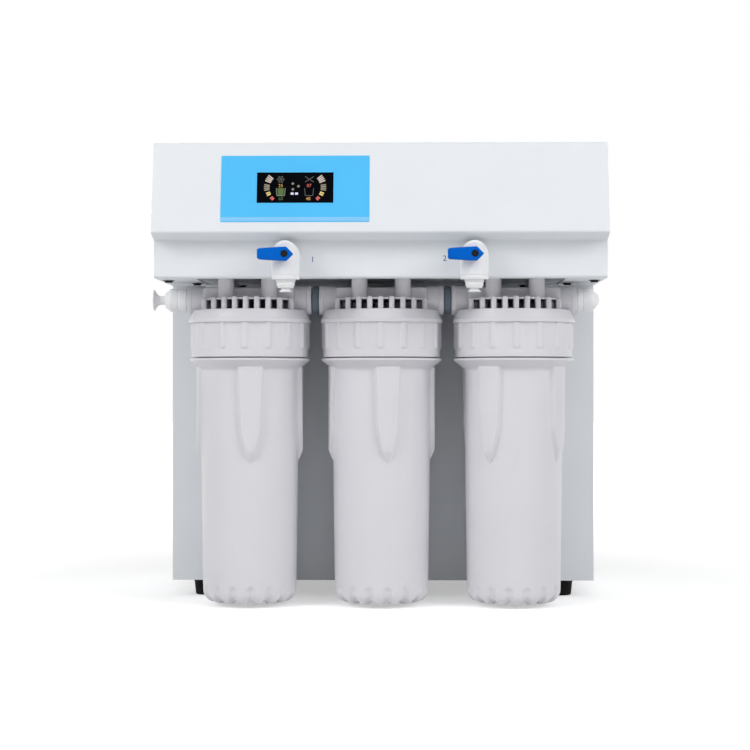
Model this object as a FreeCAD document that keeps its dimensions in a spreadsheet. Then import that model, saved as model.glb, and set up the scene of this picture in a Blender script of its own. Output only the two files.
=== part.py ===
import FreeCAD, Part
import math
import os
import re
import Sketcher

# Bench ultrapure water system: a folded steel case with an overhanging hood, three
# screw-on filter housings under the hood, two lever valves on its chin, a blue control
# fascia on its brow, and the pump, membrane, resin column and supply inside the cabinet.
# Millimetres, +Z up, front towards -Y, origin at the bottom centre of the bounding box.
# Formulas are written in the case's own frame (X centre, Y zero on the cabinet's front
# face, Z zero on the bench); frame_x and frame_y move every piece into the part's frame.

SIZES = {
    # Case
    "cabinet_depth": 226,
    "elbow_side_gap": 1,
    "foot_height": 17,
    "foot_radius": 14,
    "foot_taper": 2,
    "foot_inset_x": 33,
    "foot_inset_y": 26,
    "chin_height": 41,
    "brow_height": 87,
    "brow_overhang": 22.1,
    "brow_setback": 20,
    "sheet_gauge": 1.5,
    "flange_width": 14,
    "ledge_width": 36,
    "bend_radius": 2.5,
    "bracket_gauge": 2,
    "bracket_inset": 4,
    "bracket_upstand": 9,
    # Case screws
    "screw_radius": 1.95,
    "screw_length": 8,
    "screw_head_radius": 3.8,
    "screw_head_height": 2.2,
    "screw_flange_radius": 5.6,
    "screw_flange": 0.7,
    "screw_hole_gap": 0.15,
    "screw_edge": 7,
    "screw_span_share": 0.7,
    "screw_middle_share": 0.2,
    "ledge_screw_x": 143.5,
    # Filter heads
    "housing_gap": 10,
    "housing_back_gap": 7,
    "housing_front_gap": 12.6,
    "boss_height": 29.5,
    "boss_radius": 7.7,
    "boss_pitch_x": 42,
    "boss_pitch_y": 56,
    "comb_height": 12,
    "comb_inset": 9,
    "comb_rib_width": 5.1,
    "comb_rib_pitch": 10.6,
    "comb_rib_count": 9,
    "manifold_rise": 22,
    "manifold_width": 34,
    "skirt_height": 13,
    "skirt_overhang": 2.5,
    "skirt_shoulder": 4,
    "nut_height": 33.4,
    "nut_radius": 57.5,
    "nut_wall": 5.2,
    "grip_rib_count": 16,
    "grip_rib_width": 5,
    "grip_rib_height": 1.5,
    "grip_rib_start": 8,
    "ceiling_thickness": 8,
    "port_rise": 10,
    "port_radius": 14.5,
    "port_root": 44,
    "socket_depth": 16,
    "passage_radius": 5,
    "feed_drop_x": 40,
    "filter_screw_radius": 2.2,
    "filter_screw_length": 14,
    "filter_screw_head_radius": 4,
    "filter_screw_head_height": 3,
    # Filter bowls and what they hold
    "bowl_gap": 1.2,
    "bowl_bench_gap": 4,
    "bowl_lip": 2,
    "bowl_cone_height": 8.5,
    "bowl_middle_taper": 0.6,
    "bowl_base_taper": 2,
    "bowl_foot_rounding": 11,
    "bowl_middle_drop": 130,
    "bowl_wall": 4,
    "bowl_floor": 5,
    "neck_wall": 8.1,
    "neck_gap": 0.3,
    "spigot_height": 11,
    "leaf_width": 24.5,
    "leaf_waist": 20,
    "leaf_length": 94,
    "leaf_taper": 34,
    "leaf_nose": 12,
    "leaf_rise": 4.5,
    "leaf_corner": 2.5,
    "flute_count": 16,
    "flute_radius": 5.2,
    "flute_depth": 2.4,
    "flute_height": 13,
    "leaf_turn_left": 5.5,
    "leaf_turn_middle": 8,
    "leaf_turn_right": 58.5,
    "cartridge_length": 248,
    "cartridge_rise": 14.6,
    "cartridge_radius": 31.75,
    "cartridge_bore_radius": 13.5,
    "cartridge_cap_height": 9,
    "cartridge_cap_rim": 1.5,
    "spigot_gap": 0.3,
    "nipple_insert": 4,
    "seal_cord": 3,
    "seal_gap": 0.08,
    "seal_depth": 8,
    # Couplings, inlet and outlet fittings
    "fitting_radius": 10,
    "fitting_gap": 0.1,
    "fitting_insert": 15,
    "coupling_gap": 6,
    "coupling_radius": 14,
    "inlet_body_radius": 11.5,
    "inlet_body_length": 17,
    "inlet_nose_radius": 8,
    "inlet_nose_length": 4,
    "inlet_show": 12,
    "trumpet_radius": 10.5,
    "trumpet_length": 4.5,
    "trumpet_rim": 1,
    "elbow_radius": 11,
    "elbow_reach": 11,
    "elbow_arm_length": 24,
    "elbow_arm_radius": 9,
    "feed_tube_radius": 4.75,
    "feed_tube_wall": 1.2,
    "feed_tube_insert": 10,
    "feed_tube_bend": 25,
    "grommet_gap": 0.6,
    # Push-fit collets
    "tube_radius": 3.175,
    "tube_wall": 1,
    "tube_bend": 20,
    "collet_bore_gap": 0.05,
    "collet_neck_radius": 4.4,
    "collet_length": 16,
    "collet_flange_radius": 6.15,
    "collet_flange": 1.5,
    "collet_show": 3.8,
    "collet_travel": 1.5,
    "collet_gap": 0.1,
    # Lever valves
    "valve_spacing": 177.2,
    "valve_rise": 20.3,
    "valve_standoff": 17.4,
    "valve_radius": 13.2,
    "valve_nose": 14,
    "valve_boss_radius": 6.3,
    "valve_neck_radius": 12.6,
    "valve_drop": 23,
    "valve_groove_rise": 3.5,
    "valve_groove": 0.5,
    "cap_height": 7.9,
    "cap_radius": 9.2,
    "cap_tip_radius": 7.2,
    "cap_step": 4,
    "ball_radius": 6.5,
    "bore_radius": 2.4,
    "stem_radius": 3,
    "running_gap": 0.05,
    "shank_radius": 8,
    "thread_radius": 6,
    "thread_spare": 4,
    "nut_thickness": 5,
    "nut_corner_radius": 10.5,
    "shank_hole_gap": 0.5,
    "rail_setback": 10,
    "rail_height": 32,
    "rail_margin": 26,
    "lever_gap": 1.5,
    "lever_thickness": 7,
    "lever_reach": 25.3,
    "lever_end_width": 10,
    "lever_hub_width": 13.4,
    "lever_tip": 8.3,
    "lever_cheek": 1.8,
    "hub_depth": 2.5,
    "recess_depth": 3,
    "recess_gap": 0.3,
    "lever_screw_radius": 1.5,
    "lever_screw_length": 8,
    "lever_screw_head_radius": 3.1,
    "lever_screw_head_height": 2,
    # Control panel
    "fascia_left": 150.1,
    "fascia_width": 140.2,
    "fascia_low": 10.6,
    "fascia_top": 13.1,
    "fascia_thickness": 0.5,
    "window_width": 72.1,
    "window_height": 30,
    "window_low": 18.8,
    "window_gap": 0.1,
    "display_margin": 8,
    "display_depth": 6,
    "board_gauge": 1.6,
    "standoff_radius": 3,
    "standoff_inset": 4,
    "control_board_width": 120,
    "control_board_height": 80,
    "control_board_drop": 12,
    "control_board_standoff": 8,
    "component_height": 12,
    "relay_width": 24,
    # Pump, membrane, resin column and supply
    "pump_forward": 8,
    "pump_head_width": 90,
    "pump_head_height": 45,
    "pump_motor_radius": 38,
    "pump_motor_length": 112,
    "pump_port_x": 35,
    "pump_port_y": 30,
    "pump_port_radius": 6.5,
    "pump_port_height": 7,
    "vessel_back": 52,
    "vessel_headroom": 19.5,
    "vessel_radius": 29,
    "vessel_wall": 4,
    "vessel_cap_radius": 32,
    "vessel_cap_height": 26,
    "vessel_end": 8,
    "vessel_port_x": 12,
    "vessel_port_y": 17,
    "element_radius": 23,
    "element_stem_radius": 8.5,
    "element_stem": 12,
    "column_back": 42,
    "column_headroom": 34.5,
    "column_radius": 40,
    "column_cap_rim": 3,
    "column_cap_height": 20,
    "column_port_x": 15,
    "spigot_radius": 5.5,
    "spigot_rise": 8,
    "tube_rise": 36,
    "tube_turn_y": 100,
    "supply_width": 98,
    "supply_length": 159,
    "supply_height": 38,
    # Rear panel fittings
    "drain_run": 23,
    "drain_z": 46,
    "drain_body_radius": 10,
    "drain_body_length": 12,
    "drain_inner_length": 14,
    "drain_collet_show": 5.3,
    "module_side_gap": 65,
    "module_low": 75,
    "module_width": 50,
    "module_height": 62,
    "module_flange": 3,
    "module_body_depth": 24,
    "module_body_inset": 8,
    "module_hole_gap": 0.4,
    "socket_width": 24,
    "socket_height": 16.4,
    "socket_recess": 18,
    "socket_low": 13,
    "pin_length": 12,
    "pin_width": 2,
    "pin_height": 5,
    "pin_spacing": 14,
    "rocker_width": 22,
    "rocker_height": 15,
    "rocker_low": 38,
    "rocker_depth": 9,
    "rocker_root_inset": 3,
    "rocker_gap": 0.5,
    "rocker_show": 1.5,
    "rocker_end_gap": 1.3,
    "rocker_pin_radius": 1.5,
    "rocker_pin_length": 1,
    # Shared overrun of every cutter past the face that it opens
    "overrun": 1,
}

LAYOUT = {
    "head_bore_radius": "nut_radius - nut_wall",
    "neck_radius": "head_bore_radius - neck_gap",
    "neck_bore_radius": "neck_radius - neck_wall",
    "bowl_top_radius": "neck_bore_radius + bowl_wall",
    "bowl_middle_radius": "bowl_top_radius - bowl_middle_taper",
    "bowl_base_radius": "bowl_top_radius - bowl_base_taper",
    "bowl_flange_radius": "nut_radius + grip_rib_height",
    "skirt_radius": "nut_radius + skirt_overhang",
    "comb_radius": "skirt_radius - comb_inset",
    "filter_pitch": "2 * skirt_radius + housing_gap",
    "filter_standoff": "skirt_radius + housing_back_gap",
    "hood_reach": "filter_standoff + skirt_radius + housing_front_gap",
    "port_reach": "(filter_pitch - coupling_gap) / 2",
    "socket_radius": "fitting_radius + fitting_gap",
    "right_port_x": "filter_pitch + port_reach",
    "elbow_x": "right_port_x + elbow_reach",
    "side_x": "elbow_x + elbow_radius + elbow_side_gap",
    "inner_x": "side_x - sheet_gauge",
    "tray_top_z": "foot_height + sheet_gauge",
    "bowl_drop": "cartridge_length + bowl_floor - cartridge_rise",
    "bowl_base_z": "bowl_bench_gap",
    "flange_top_z": "bowl_base_z + bowl_drop",
    "nut_base_z": "flange_top_z + bowl_gap",
    "skirt_base_z": "nut_base_z + nut_height",
    "comb_base_z": "skirt_base_z + skirt_height",
    "bracket_low_z": "comb_base_z + boss_height",
    "bracket_top_z": "bracket_low_z + bracket_gauge",
    "hood_low_z": "bracket_low_z - sheet_gauge",
    "bend_z": "hood_low_z + chin_height",
    "hood_top_z": "bend_z + brow_height",
    "lid_z": "hood_top_z - sheet_gauge",
    "hood_low_y": "-hood_reach",
    "bend_y": "hood_low_y - brow_overhang",
    "brow_y": "bend_y + brow_setback",
    "return_y": "hood_low_y + flange_width",
    "rear_inner_y": "cabinet_depth - sheet_gauge",
    "brow_length": "sqrt(brow_setback ^ 2 + brow_height ^ 2)",
    "brow_rise_share": "brow_height / brow_length",
    "brow_lean_share": "brow_setback / brow_length",
    "brow_skin": "sheet_gauge / brow_rise_share",
    "bend_inner_y": "bend_y + sheet_gauge * (brow_rise_share + brow_lean_share)",
    "bend_inner_z": "bend_z + sheet_gauge * (brow_rise_share - brow_lean_share)",
    "soffit_z": "bend_z - brow_overhang * brow_setback / brow_height",
    "soffit_inner_z": "soffit_z + sheet_gauge * (1 - brow_lean_share) / brow_rise_share",
    "chin_inner_y": "hood_low_y + sheet_gauge",
    "brow_lid_y": "brow_y - sheet_gauge * brow_setback / brow_height",
    "brow_inner_y": "brow_y + brow_skin - sheet_gauge * 2 * brow_setback / brow_height",
    "filter_y": "-filter_standoff",
    "port_z": "comb_base_z + port_rise",
    "ceiling_z": "comb_base_z - ceiling_thickness",
    "cone_top_z": "flange_top_z - bowl_lip",
    "cone_base_z": "cone_top_z - bowl_cone_height",
    "bowl_middle_z": "flange_top_z - bowl_middle_drop",
    "neck_top_z": "skirt_base_z",
    "floor_z": "bowl_base_z + bowl_floor",
    "cartridge_top_z": "floor_z + cartridge_length",
    "nipple_end_z": "cartridge_top_z - nipple_insert",
    "spigot_core_radius": "cartridge_bore_radius - spigot_gap",
    "seal_ring_radius": "head_bore_radius - seal_gap - seal_cord / 2",
    "seal_z": "neck_top_z - seal_depth",
    "valve_x": "valve_spacing / 2",
    "valve_y": "hood_low_y - valve_standoff",
    "pivot_z": "hood_low_z + valve_rise",
    "valve_front_y": "valve_y - valve_nose",
    "valve_base_z": "pivot_z - valve_drop",
    "cap_base_z": "valve_base_z - cap_height",
    "collet_end_z": "cap_base_z - collet_show",
    "collet_bore_radius": "tube_radius + collet_bore_gap",
    "collet_hole_radius": "collet_neck_radius + collet_gap",
    "collet_hole_depth": "collet_length - collet_show + collet_flange + collet_travel + collet_travel",
    "rail_y": "hood_low_y + rail_setback",
    "shank_end_y": "rail_y + sheet_gauge + nut_thickness + thread_spare",
    "lever_back_y": "valve_front_y - lever_gap",
    "lever_front_y": "lever_back_y - lever_thickness",
    "recess_radius": "lever_screw_head_radius + recess_gap",
    "fascia_height": "brow_length - fascia_low - fascia_top",
    "window_left": "-fascia_left + (fascia_width - window_width) / 2",
    "elbow_end_y": "filter_y + elbow_arm_length",
    "inlet_end_x": "right_port_x + inlet_body_length + inlet_nose_length",
    "trumpet_x": "inlet_end_x + inlet_show",
    "column_cap_radius": "column_radius + column_cap_rim",
    "inner_gap":
        "(2 * (inner_x - column_cap_radius - vessel_cap_radius) - supply_width - pump_head_width) / 5",
    "supply_left": "-inner_x + inner_gap",
    "column_x": "supply_left + supply_width + inner_gap + column_cap_radius",
    "vessel_x": "column_x + column_cap_radius + inner_gap + vessel_cap_radius",
    "pump_x": "vessel_x + vessel_cap_radius + inner_gap + pump_head_width / 2",
    "pump_y": "cabinet_depth / 2 - pump_forward",
    "vessel_y": "cabinet_depth / 2 + vessel_back",
    "column_y": "cabinet_depth / 2 + column_back",
    "vessel_top_z": "hood_low_z - vessel_headroom",
    "column_top_z": "hood_low_z - column_headroom",
    "drain_x": "vessel_x + vessel_radius + spigot_rise + drain_run",
    "module_x": "side_x - module_side_gap",
    "pump_head_top_z": "tray_top_z + pump_head_height",
    "front_reach": "-lever_front_y",
    "rear_reach": "cabinet_depth + drain_body_length + drain_collet_show",
    "right_reach": "side_x + screw_head_height",
    "left_reach": "trumpet_x > right_reach ? trumpet_x : right_reach",
    "frame_x": "(left_reach - right_reach) / 2",
    "frame_y": "(front_reach - rear_reach) / 2",
}

# Across and up, of the pin spacing and of the pin height, for each pin of the mains inlet
PIN_PLACE_SHARES = ((-0.5, -0.4), (0, 0.4), (0.5, -0.4))

WORD = re.compile(r"[a-z][a-z_0-9]*")
X_AXIS = FreeCAD.Vector(1, 0, 0)
Y_AXIS = FreeCAD.Vector(0, 1, 0)
Z_AXIS = FreeCAD.Vector(0, 0, 1)
TURNS = {
    "X": FreeCAD.Rotation(Y_AXIS, 90),
    "Y": FreeCAD.Rotation(X_AXIS, -90),
    "Z": FreeCAD.Rotation(),
}

doc = FreeCAD.newDocument("water_system")
sheet = doc.addObject("Spreadsheet::Sheet", "Sizes")
for row, (alias, value) in enumerate(SIZES.items(), start=1):
    sheet.set(f"A{row}", alias)
    sheet.set(f"B{row}", str(value))
    sheet.setAlias(f"B{row}", alias)
doc.recompute()


def linked(formula):
    """The formula with each size and each worked-out place written as a reference."""
    def reference(match):
        word = match.group(0)
        if word in SIZES:
            return f"Sizes.{word}"
        if word in LAYOUT:
            return f"Layout.{word}"
        return word
    return WORD.sub(reference, formula)


layout = doc.addObject("App::VarSet", "Layout")
for place_name in LAYOUT:
    layout.addProperty("App::PropertyFloat", place_name)
for place_name, place_formula in LAYOUT.items():
    layout.setExpression(place_name, linked(place_formula))
doc.recompute()


class Values:
    """Reads sizes and worked-out places as plain numbers."""

    def __getattr__(self, name):
        return float(getattr(sheet if name in SIZES else layout, name))


val = Values()
feet = {}
nodes = []


def place(item, x, y, z):
    """Bind an object's position to three formulas."""
    feet[item.Name] = (x, y, z)
    for axis, formula in zip("xyz", (x, y, z)):
        item.setExpression(f"Placement.Base.{axis}", linked(formula))


def node(label, item):
    """Name a finished sub-part and move it from the case's frame into the part's frame."""
    x, y, z = feet.get(item.Name, ("0", "0", "0"))
    place(item, f"({x}) + frame_x", f"({y}) + frame_y", z)
    item.Label = label
    nodes.append(item)
    return item


def box(x, y, z):
    """Block between two corners; x, y and z are pairs of formulas, low then high."""
    block = doc.addObject("Part::Box", "block")
    for prop, (low, high) in zip(("Length", "Width", "Height"), (x, y, z)):
        block.setExpression(prop, linked(f"({high}) - ({low})"))
    place(block, x[0], y[0], z[0])
    return block


def rod(axis, start, end, at, radius):
    """Cylinder along an axis from start to end; at holds its other two coordinates in order."""
    item = doc.addObject("Part::Cylinder", "rod")
    item.Placement = FreeCAD.Placement(FreeCAD.Vector(), TURNS[axis])
    item.setExpression("Radius", linked(radius))
    item.setExpression("Height", linked(f"({end}) - ({start})"))
    place(item, *on_axis(axis, start, at))
    return item


def cone(axis, start, end, at, start_radius, end_radius):
    """Truncated cone along an axis, placed as a rod is."""
    item = doc.addObject("Part::Cone", "cone")
    item.Placement = FreeCAD.Placement(FreeCAD.Vector(), TURNS[axis])
    item.setExpression("Radius1", linked(start_radius))
    item.setExpression("Radius2", linked(end_radius))
    item.setExpression("Height", linked(f"({end}) - ({start})"))
    place(item, *on_axis(axis, start, at))
    return item


def on_axis(axis, start, at):
    """The three coordinates of a rod's foot."""
    first, second = at
    return {
        "X": (start, first, second),
        "Y": (first, start, second),
        "Z": (first, second, start),
    }[axis]


def ball(x, y, z, radius):
    """Sphere about a point."""
    item = doc.addObject("Part::Sphere", "ball")
    item.setExpression("Radius", linked(radius))
    place(item, x, y, z)
    return item


def fuse(*items):
    """The items joined into one."""
    joined = doc.addObject("Part::MultiFuse", "joined")
    joined.Shapes = list(items)
    joined.Refine = True
    return joined


def cut(base, *tools):
    """The base less every tool."""
    item = doc.addObject("Part::Cut", "trimmed")
    item.Base = base
    item.Tool = tools[0] if len(tools) == 1 else fuse(*tools)
    item.Refine = True
    return item


def common(first, second):
    """What the two items share."""
    item = doc.addObject("Part::Common", "shared")
    item.Base = first
    item.Tool = second
    return item


def group(*items):
    """Separate solids that share one node."""
    together = doc.addObject("Part::Compound", "group")
    together.Links = list(items)
    return together


def outline(body, role, points):
    """Closed straight-sided sketch on an origin plane, through pairs of formulas."""
    sketch = body.newObject("Sketcher::SketchObject", "outline")
    plane = next(item for item in body.Origin.OriginFeatures if item.Role == role)
    sketch.AttachmentSupport = [(plane, "")]
    sketch.MapMode = "FlatFace"
    count = len(points)
    corners = [
        FreeCAD.Vector(math.cos(math.tau * i / count), math.sin(math.tau * i / count), 0)
        for i in range(count)
    ]
    for i in range(count):
        sketch.addGeometry(Part.LineSegment(corners[i], corners[(i + 1) % count]), False)
    for i in range(count):
        sketch.addConstraint(Sketcher.Constraint("Coincident", i, 2, (i + 1) % count, 1))
    for i, pair in enumerate(points):
        for kind, formula, start in zip(("DistanceX", "DistanceY"), pair, corners[i]):
            index = sketch.addConstraint(Sketcher.Constraint(kind, -1, 1, i, 1, start))
            sketch.setExpression(f"Constraints[{index}]", linked(formula))
    return sketch


def extruded(role, points, length, middle=False):
    """Body with one pad of an outline; middle spreads it to both sides of the plane."""
    body = doc.addObject("PartDesign::Body", "body")
    sketch = outline(body, role, points)
    pad = body.newObject("PartDesign::Pad", "pad")
    pad.Profile = sketch
    pad.Midplane = middle
    pad.setExpression("Length", linked(length))
    body.Tip = pad
    return body


def turned(points, x, y):
    """Body turned from an outline of radius and height about an upright axis."""
    body = doc.addObject("PartDesign::Body", "body")
    sketch = outline(body, "XZ_Plane", points)
    turn = body.newObject("PartDesign::Revolution", "turn")
    turn.Profile = sketch
    turn.ReferenceAxis = (sketch, ["V_Axis"])
    turn.Angle = 360
    body.Tip = turn
    place(body, x, y, "0")
    return body


def rounded(body, radius, *tests):
    """Round the edges of the body's tip whose ends all pass one of the tests."""
    doc.recompute()
    tip = body.Tip
    names = [
        f"Edge{i}" for i, edge in enumerate(tip.Shape.Edges, start=1)
        if any(all(test(vertex.Point) for vertex in edge.Vertexes) for test in tests)
    ]
    rounding = body.newObject("PartDesign::Fillet", "rounding")
    rounding.Base = (tip, names)
    rounding.setExpression("Radius", linked(radius))
    body.Tip = rounding
    return body


def near(value, target):
    """True where two numbers agree to a hundredth."""
    return abs(value - target) < val.overrun / 100


def along_width(y, z):
    """Test for points on the line across the case at y and z."""
    return lambda point: near(point.y, y) and near(point.z, z)


# Case screws: axis, direction of the head, and the point where the head meets the sheet

def case_screw_places():
    """Every case screw as (axis, head direction, first, second, seat) formulas."""
    side_y = ("foot_inset_y", "cabinet_depth - foot_inset_y")
    lid_y = ("hood_low_y * screw_span_share", "cabinet_depth * screw_middle_share",
             "cabinet_depth * screw_span_share")
    under = (("inner_x - screw_edge", "hood_low_y * screw_span_share"),
             ("inner_x - ledge_width + screw_edge", "filter_y * screw_span_share"),
             ("ledge_screw_x", "-screw_edge"))
    rear_x = ("-side_x * screw_span_share", "0", "side_x * screw_span_share")
    low_z = "foot_height + screw_edge + sheet_gauge"
    high_z = "lid_z - screw_edge"
    places = []
    for sign in (-1, 1):
        seat = f"{sign} * side_x"
        places += [("X", sign, y, low_z, seat) for y in side_y]
        places += [("X", sign, y, high_z, seat) for y in lid_y]
        places += [("Z", -1, f"{sign} * ({x})", y, "hood_low_z") for x, y in under]
    for z in (low_z, high_z):
        places += [("Y", 1, x, z, "cabinet_depth") for x in rear_x]
    return places


def along(axis, direction, seat, depth, outside, at, radius):
    """Rod through a seat: depth goes into the case, outside stands out of it."""
    if direction > 0:
        return rod(axis, f"{seat} - ({depth})", f"{seat} + ({outside})", at, radius)
    return rod(axis, f"{seat} - ({outside})", f"{seat} + ({depth})", at, radius)


def case_screws():
    """Flanged sheet-metal screws that hold the case together."""
    screws = []
    for axis, direction, first, second, seat in case_screw_places():
        at = (first, second)
        head = along(axis, direction, seat, "0", "screw_head_height", at, "screw_head_radius")
        flange = along(axis, direction, seat, "0", "screw_flange", at, "screw_flange_radius")
        shank = along(axis, direction, seat, "screw_length", "0", at, "screw_radius")
        screws.append(fuse(head, flange, shank))
    return group(*screws)


def case_screw_holes():
    """One cutter for the holes of every case screw."""
    return fuse(*(
        along(axis, direction, seat, "screw_length + overrun", "overrun", (first, second),
              "screw_radius + screw_hole_gap")
        for axis, direction, first, second, seat in case_screw_places()
    ))


# Case panels

def base_tray():
    """Floor sheet with an upturned flange on all four sides."""
    y = ("sheet_gauge", "rear_inner_y")
    flange_z = ("foot_height", "tray_top_z + flange_width")
    outer = box(("-inner_x", "inner_x"), y, flange_z)
    hollow = box(
        ("-inner_x + sheet_gauge", "inner_x - sheet_gauge"),
        ("sheet_gauge * 2", "rear_inner_y - sheet_gauge"),
        ("tray_top_z", "tray_top_z + flange_width + overrun"),
    )
    return cut(outer, hollow, screw_holes)


def side_panel(sign):
    """Side sheet shaped like an upside-down L, with a ledge under the hood."""
    points = [
        ("0", "foot_height"),
        ("0", "hood_low_z"),
        ("return_y", "hood_low_z"),
        ("return_y", "bracket_low_z"),
        ("chin_inner_y", "bracket_low_z"),
        ("chin_inner_y", "soffit_inner_z"),
        ("bend_inner_y", "bend_inner_z"),
        ("brow_inner_y", "lid_z - sheet_gauge"),
        ("brow_y + flange_width", "lid_z - sheet_gauge"),
        ("brow_y + flange_width", "lid_z"),
        ("cabinet_depth", "lid_z"),
        ("cabinet_depth", "foot_height"),
    ]
    sheet_body = extruded("YZ_Plane", points, "sheet_gauge")
    place(sheet_body, "-side_x" if sign < 0 else "inner_x", "0", "0")
    ledge_x = ("-side_x", "-inner_x + ledge_width")
    if sign > 0:
        ledge_x = ("inner_x - ledge_width", "side_x")
    ledge = box(ledge_x, ("return_y", "0"), ("hood_low_z", "bracket_low_z"))
    return cut(fuse(sheet_body, ledge), screw_holes)


def lower_front_panel():
    """Cabinet front with a flange that the filter bracket rests on, and the feed tube's hole."""
    face = box(("-inner_x", "inner_x"), ("0", "sheet_gauge"), ("foot_height", "bracket_low_z"))
    flange = box(("-inner_x + ledge_width", "inner_x - ledge_width"), ("-flange_width", "0"),
                 ("hood_low_z", "bracket_low_z"))
    hole = rod("Y", "-overrun", "sheet_gauge + overrun", ("elbow_x", "port_z"),
               "feed_tube_radius + grommet_gap")
    return cut(fuse(face, flange), hole, screw_holes)


def tilt_to_brow(item, x, y, z):
    """Lean an item back with the brow, about the bend line, at x, y, z from the case's frame."""
    item.Placement = FreeCAD.Placement(FreeCAD.Vector(), FreeCAD.Rotation(-X_AXIS, 1))
    item.setExpression("Placement.Rotation.Angle", linked("atan(brow_setback / brow_height)"))
    place(item, x, y, z)
    return item


def brow_cutter(x, z, depth):
    """Block through the brow; x and z are pairs measured on the brow's face from the bend."""
    block = box(x, ("-overrun", depth), z)
    holder = doc.addObject("Part::Compound", "holder")
    holder.Links = [block]
    return tilt_to_brow(holder, "0", "bend_y", "bend_z")


def window_x(margin):
    """Left and right of the window, widened by a margin."""
    return (f"window_left - {margin}", f"window_left + window_width + {margin}")


def window_z(margin):
    """Bottom and top of the window on the brow's face, widened by a margin."""
    low = "fascia_low + window_low"
    return (f"{low} - {margin}", f"{low} + window_height + {margin}")


def hood_front_panel():
    """Bent sheet: leaning brow, its overhanging underside, upright chin and two returns."""
    points = [
        ("return_y", "hood_low_z"),
        ("hood_low_y", "hood_low_z"),
        ("hood_low_y", "soffit_z"),
        ("bend_y", "bend_z"),
        ("brow_lid_y", "lid_z"),
        ("brow_y + flange_width", "lid_z"),
        ("brow_y + flange_width", "lid_z - sheet_gauge"),
        ("brow_inner_y", "lid_z - sheet_gauge"),
        ("bend_inner_y", "bend_inner_z"),
        ("chin_inner_y", "soffit_inner_z"),
        ("chin_inner_y", "bracket_low_z"),
        ("return_y", "bracket_low_z"),
    ]
    bent = extruded("YZ_Plane", points, "2 * side_x", middle=True)
    rounded(bent, "bend_radius", along_width(val.hood_low_y, val.hood_low_z),
            along_width(val.hood_low_y, val.soffit_z), along_width(val.bend_y, val.bend_z))
    shanks = [
        rod("Y", "bend_y", "rail_y", (f"{sign} * valve_x", "pivot_z"), "shank_radius + shank_hole_gap")
        for sign in (-1, 1)
    ]
    window = brow_cutter(window_x("window_gap"), window_z("window_gap"), "sheet_gauge + overrun")
    return cut(bent, window, *shanks)


def top_cover():
    """Lid sheet with down-turned flanges inside the side and rear panels."""
    lid = box(("-side_x", "side_x"), ("brow_y", "cabinet_depth"), ("lid_z", "hood_top_z"))
    y = ("brow_y + flange_width + sheet_gauge", "rear_inner_y")
    z = ("lid_z - flange_width", "lid_z")
    left = box(("-inner_x", "-inner_x + sheet_gauge"), y, z)
    right = box(("inner_x - sheet_gauge", "inner_x"), y, z)
    rear = box(("-inner_x", "inner_x"), ("rear_inner_y - sheet_gauge", "rear_inner_y"), z)
    return cut(fuse(lid, left, right, rear), screw_holes)


def rear_panel():
    """Rear sheet with the cut-outs for the power module and the drain port."""
    face = box(("-inner_x", "inner_x"), ("rear_inner_y", "cabinet_depth"), ("foot_height", "lid_z"))
    module_hole = box(
        module_span("module_body_inset - module_hole_gap"),
        ("rear_inner_y - overrun", "cabinet_depth + overrun"),
        module_rise("module_body_inset - module_hole_gap"),
    )
    drain_hole = rod("Y", "rear_inner_y - overrun", "cabinet_depth + overrun", ("drain_x", "drain_z"),
                     "thread_radius + screw_hole_gap")
    return cut(face, module_hole, drain_hole, screw_holes)


def filter_screw_places():
    """Plan positions of the screws that hang the three heads."""
    return [
        (f"{i} * filter_pitch + {sx} * boss_pitch_x / 2", f"filter_y + {sy} * boss_pitch_y / 2")
        for i in (-1, 0, 1) for sx in (-1, 1) for sy in (-1, 1)
    ]


def filter_bracket():
    """Thick plate that closes the hood's underside and carries the filter heads."""
    y = ("hood_low_y + bracket_inset", "flange_width")
    plate = box(("-inner_x", "inner_x"), y, ("bracket_low_z", "bracket_top_z"))
    upstand = box(("-inner_x", "inner_x"), ("flange_width - bracket_gauge", "flange_width"),
                  ("bracket_low_z", "bracket_top_z + bracket_upstand"))
    holes = [
        rod("Z", "bracket_low_z - overrun", "bracket_top_z + overrun", at,
            "filter_screw_radius + screw_hole_gap")
        for at in filter_screw_places()
    ]
    return cut(fuse(plate, upstand), screw_holes, *holes)


def filter_screws():
    """Screws through the bracket into the bosses of the heads."""
    return group(*(
        fuse(
            rod("Z", "bracket_top_z", "bracket_top_z + filter_screw_head_height", at,
                "filter_screw_head_radius"),
            rod("Z", "bracket_top_z - filter_screw_length", "bracket_top_z", at,
                "filter_screw_radius"),
        )
        for at in filter_screw_places()
    ))


def foot(sx, rear):
    """Tapered rubber foot under a corner of the tray."""
    y = "cabinet_depth - foot_inset_y" if rear else "foot_inset_y"
    return cone("Z", "0", "foot_height", (f"{sx} * (side_x - foot_inset_x)", y),
                "foot_radius - foot_taper", "foot_radius")


# Filter housings

def head_shell_points():
    """Radius and height of the head's turned part, cup open at the bottom."""
    return [
        ("0", "comb_base_z"),
        ("skirt_radius - skirt_shoulder", "comb_base_z"),
        ("skirt_radius", "comb_base_z - skirt_shoulder"),
        ("skirt_radius", "skirt_base_z"),
        ("nut_radius", "skirt_base_z"),
        ("nut_radius", "nut_base_z"),
        ("head_bore_radius", "nut_base_z"),
        ("head_bore_radius", "ceiling_z"),
        ("spigot_core_radius", "ceiling_z"),
        ("spigot_core_radius", "nipple_end_z"),
        ("0", "nipple_end_z"),
    ]


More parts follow.
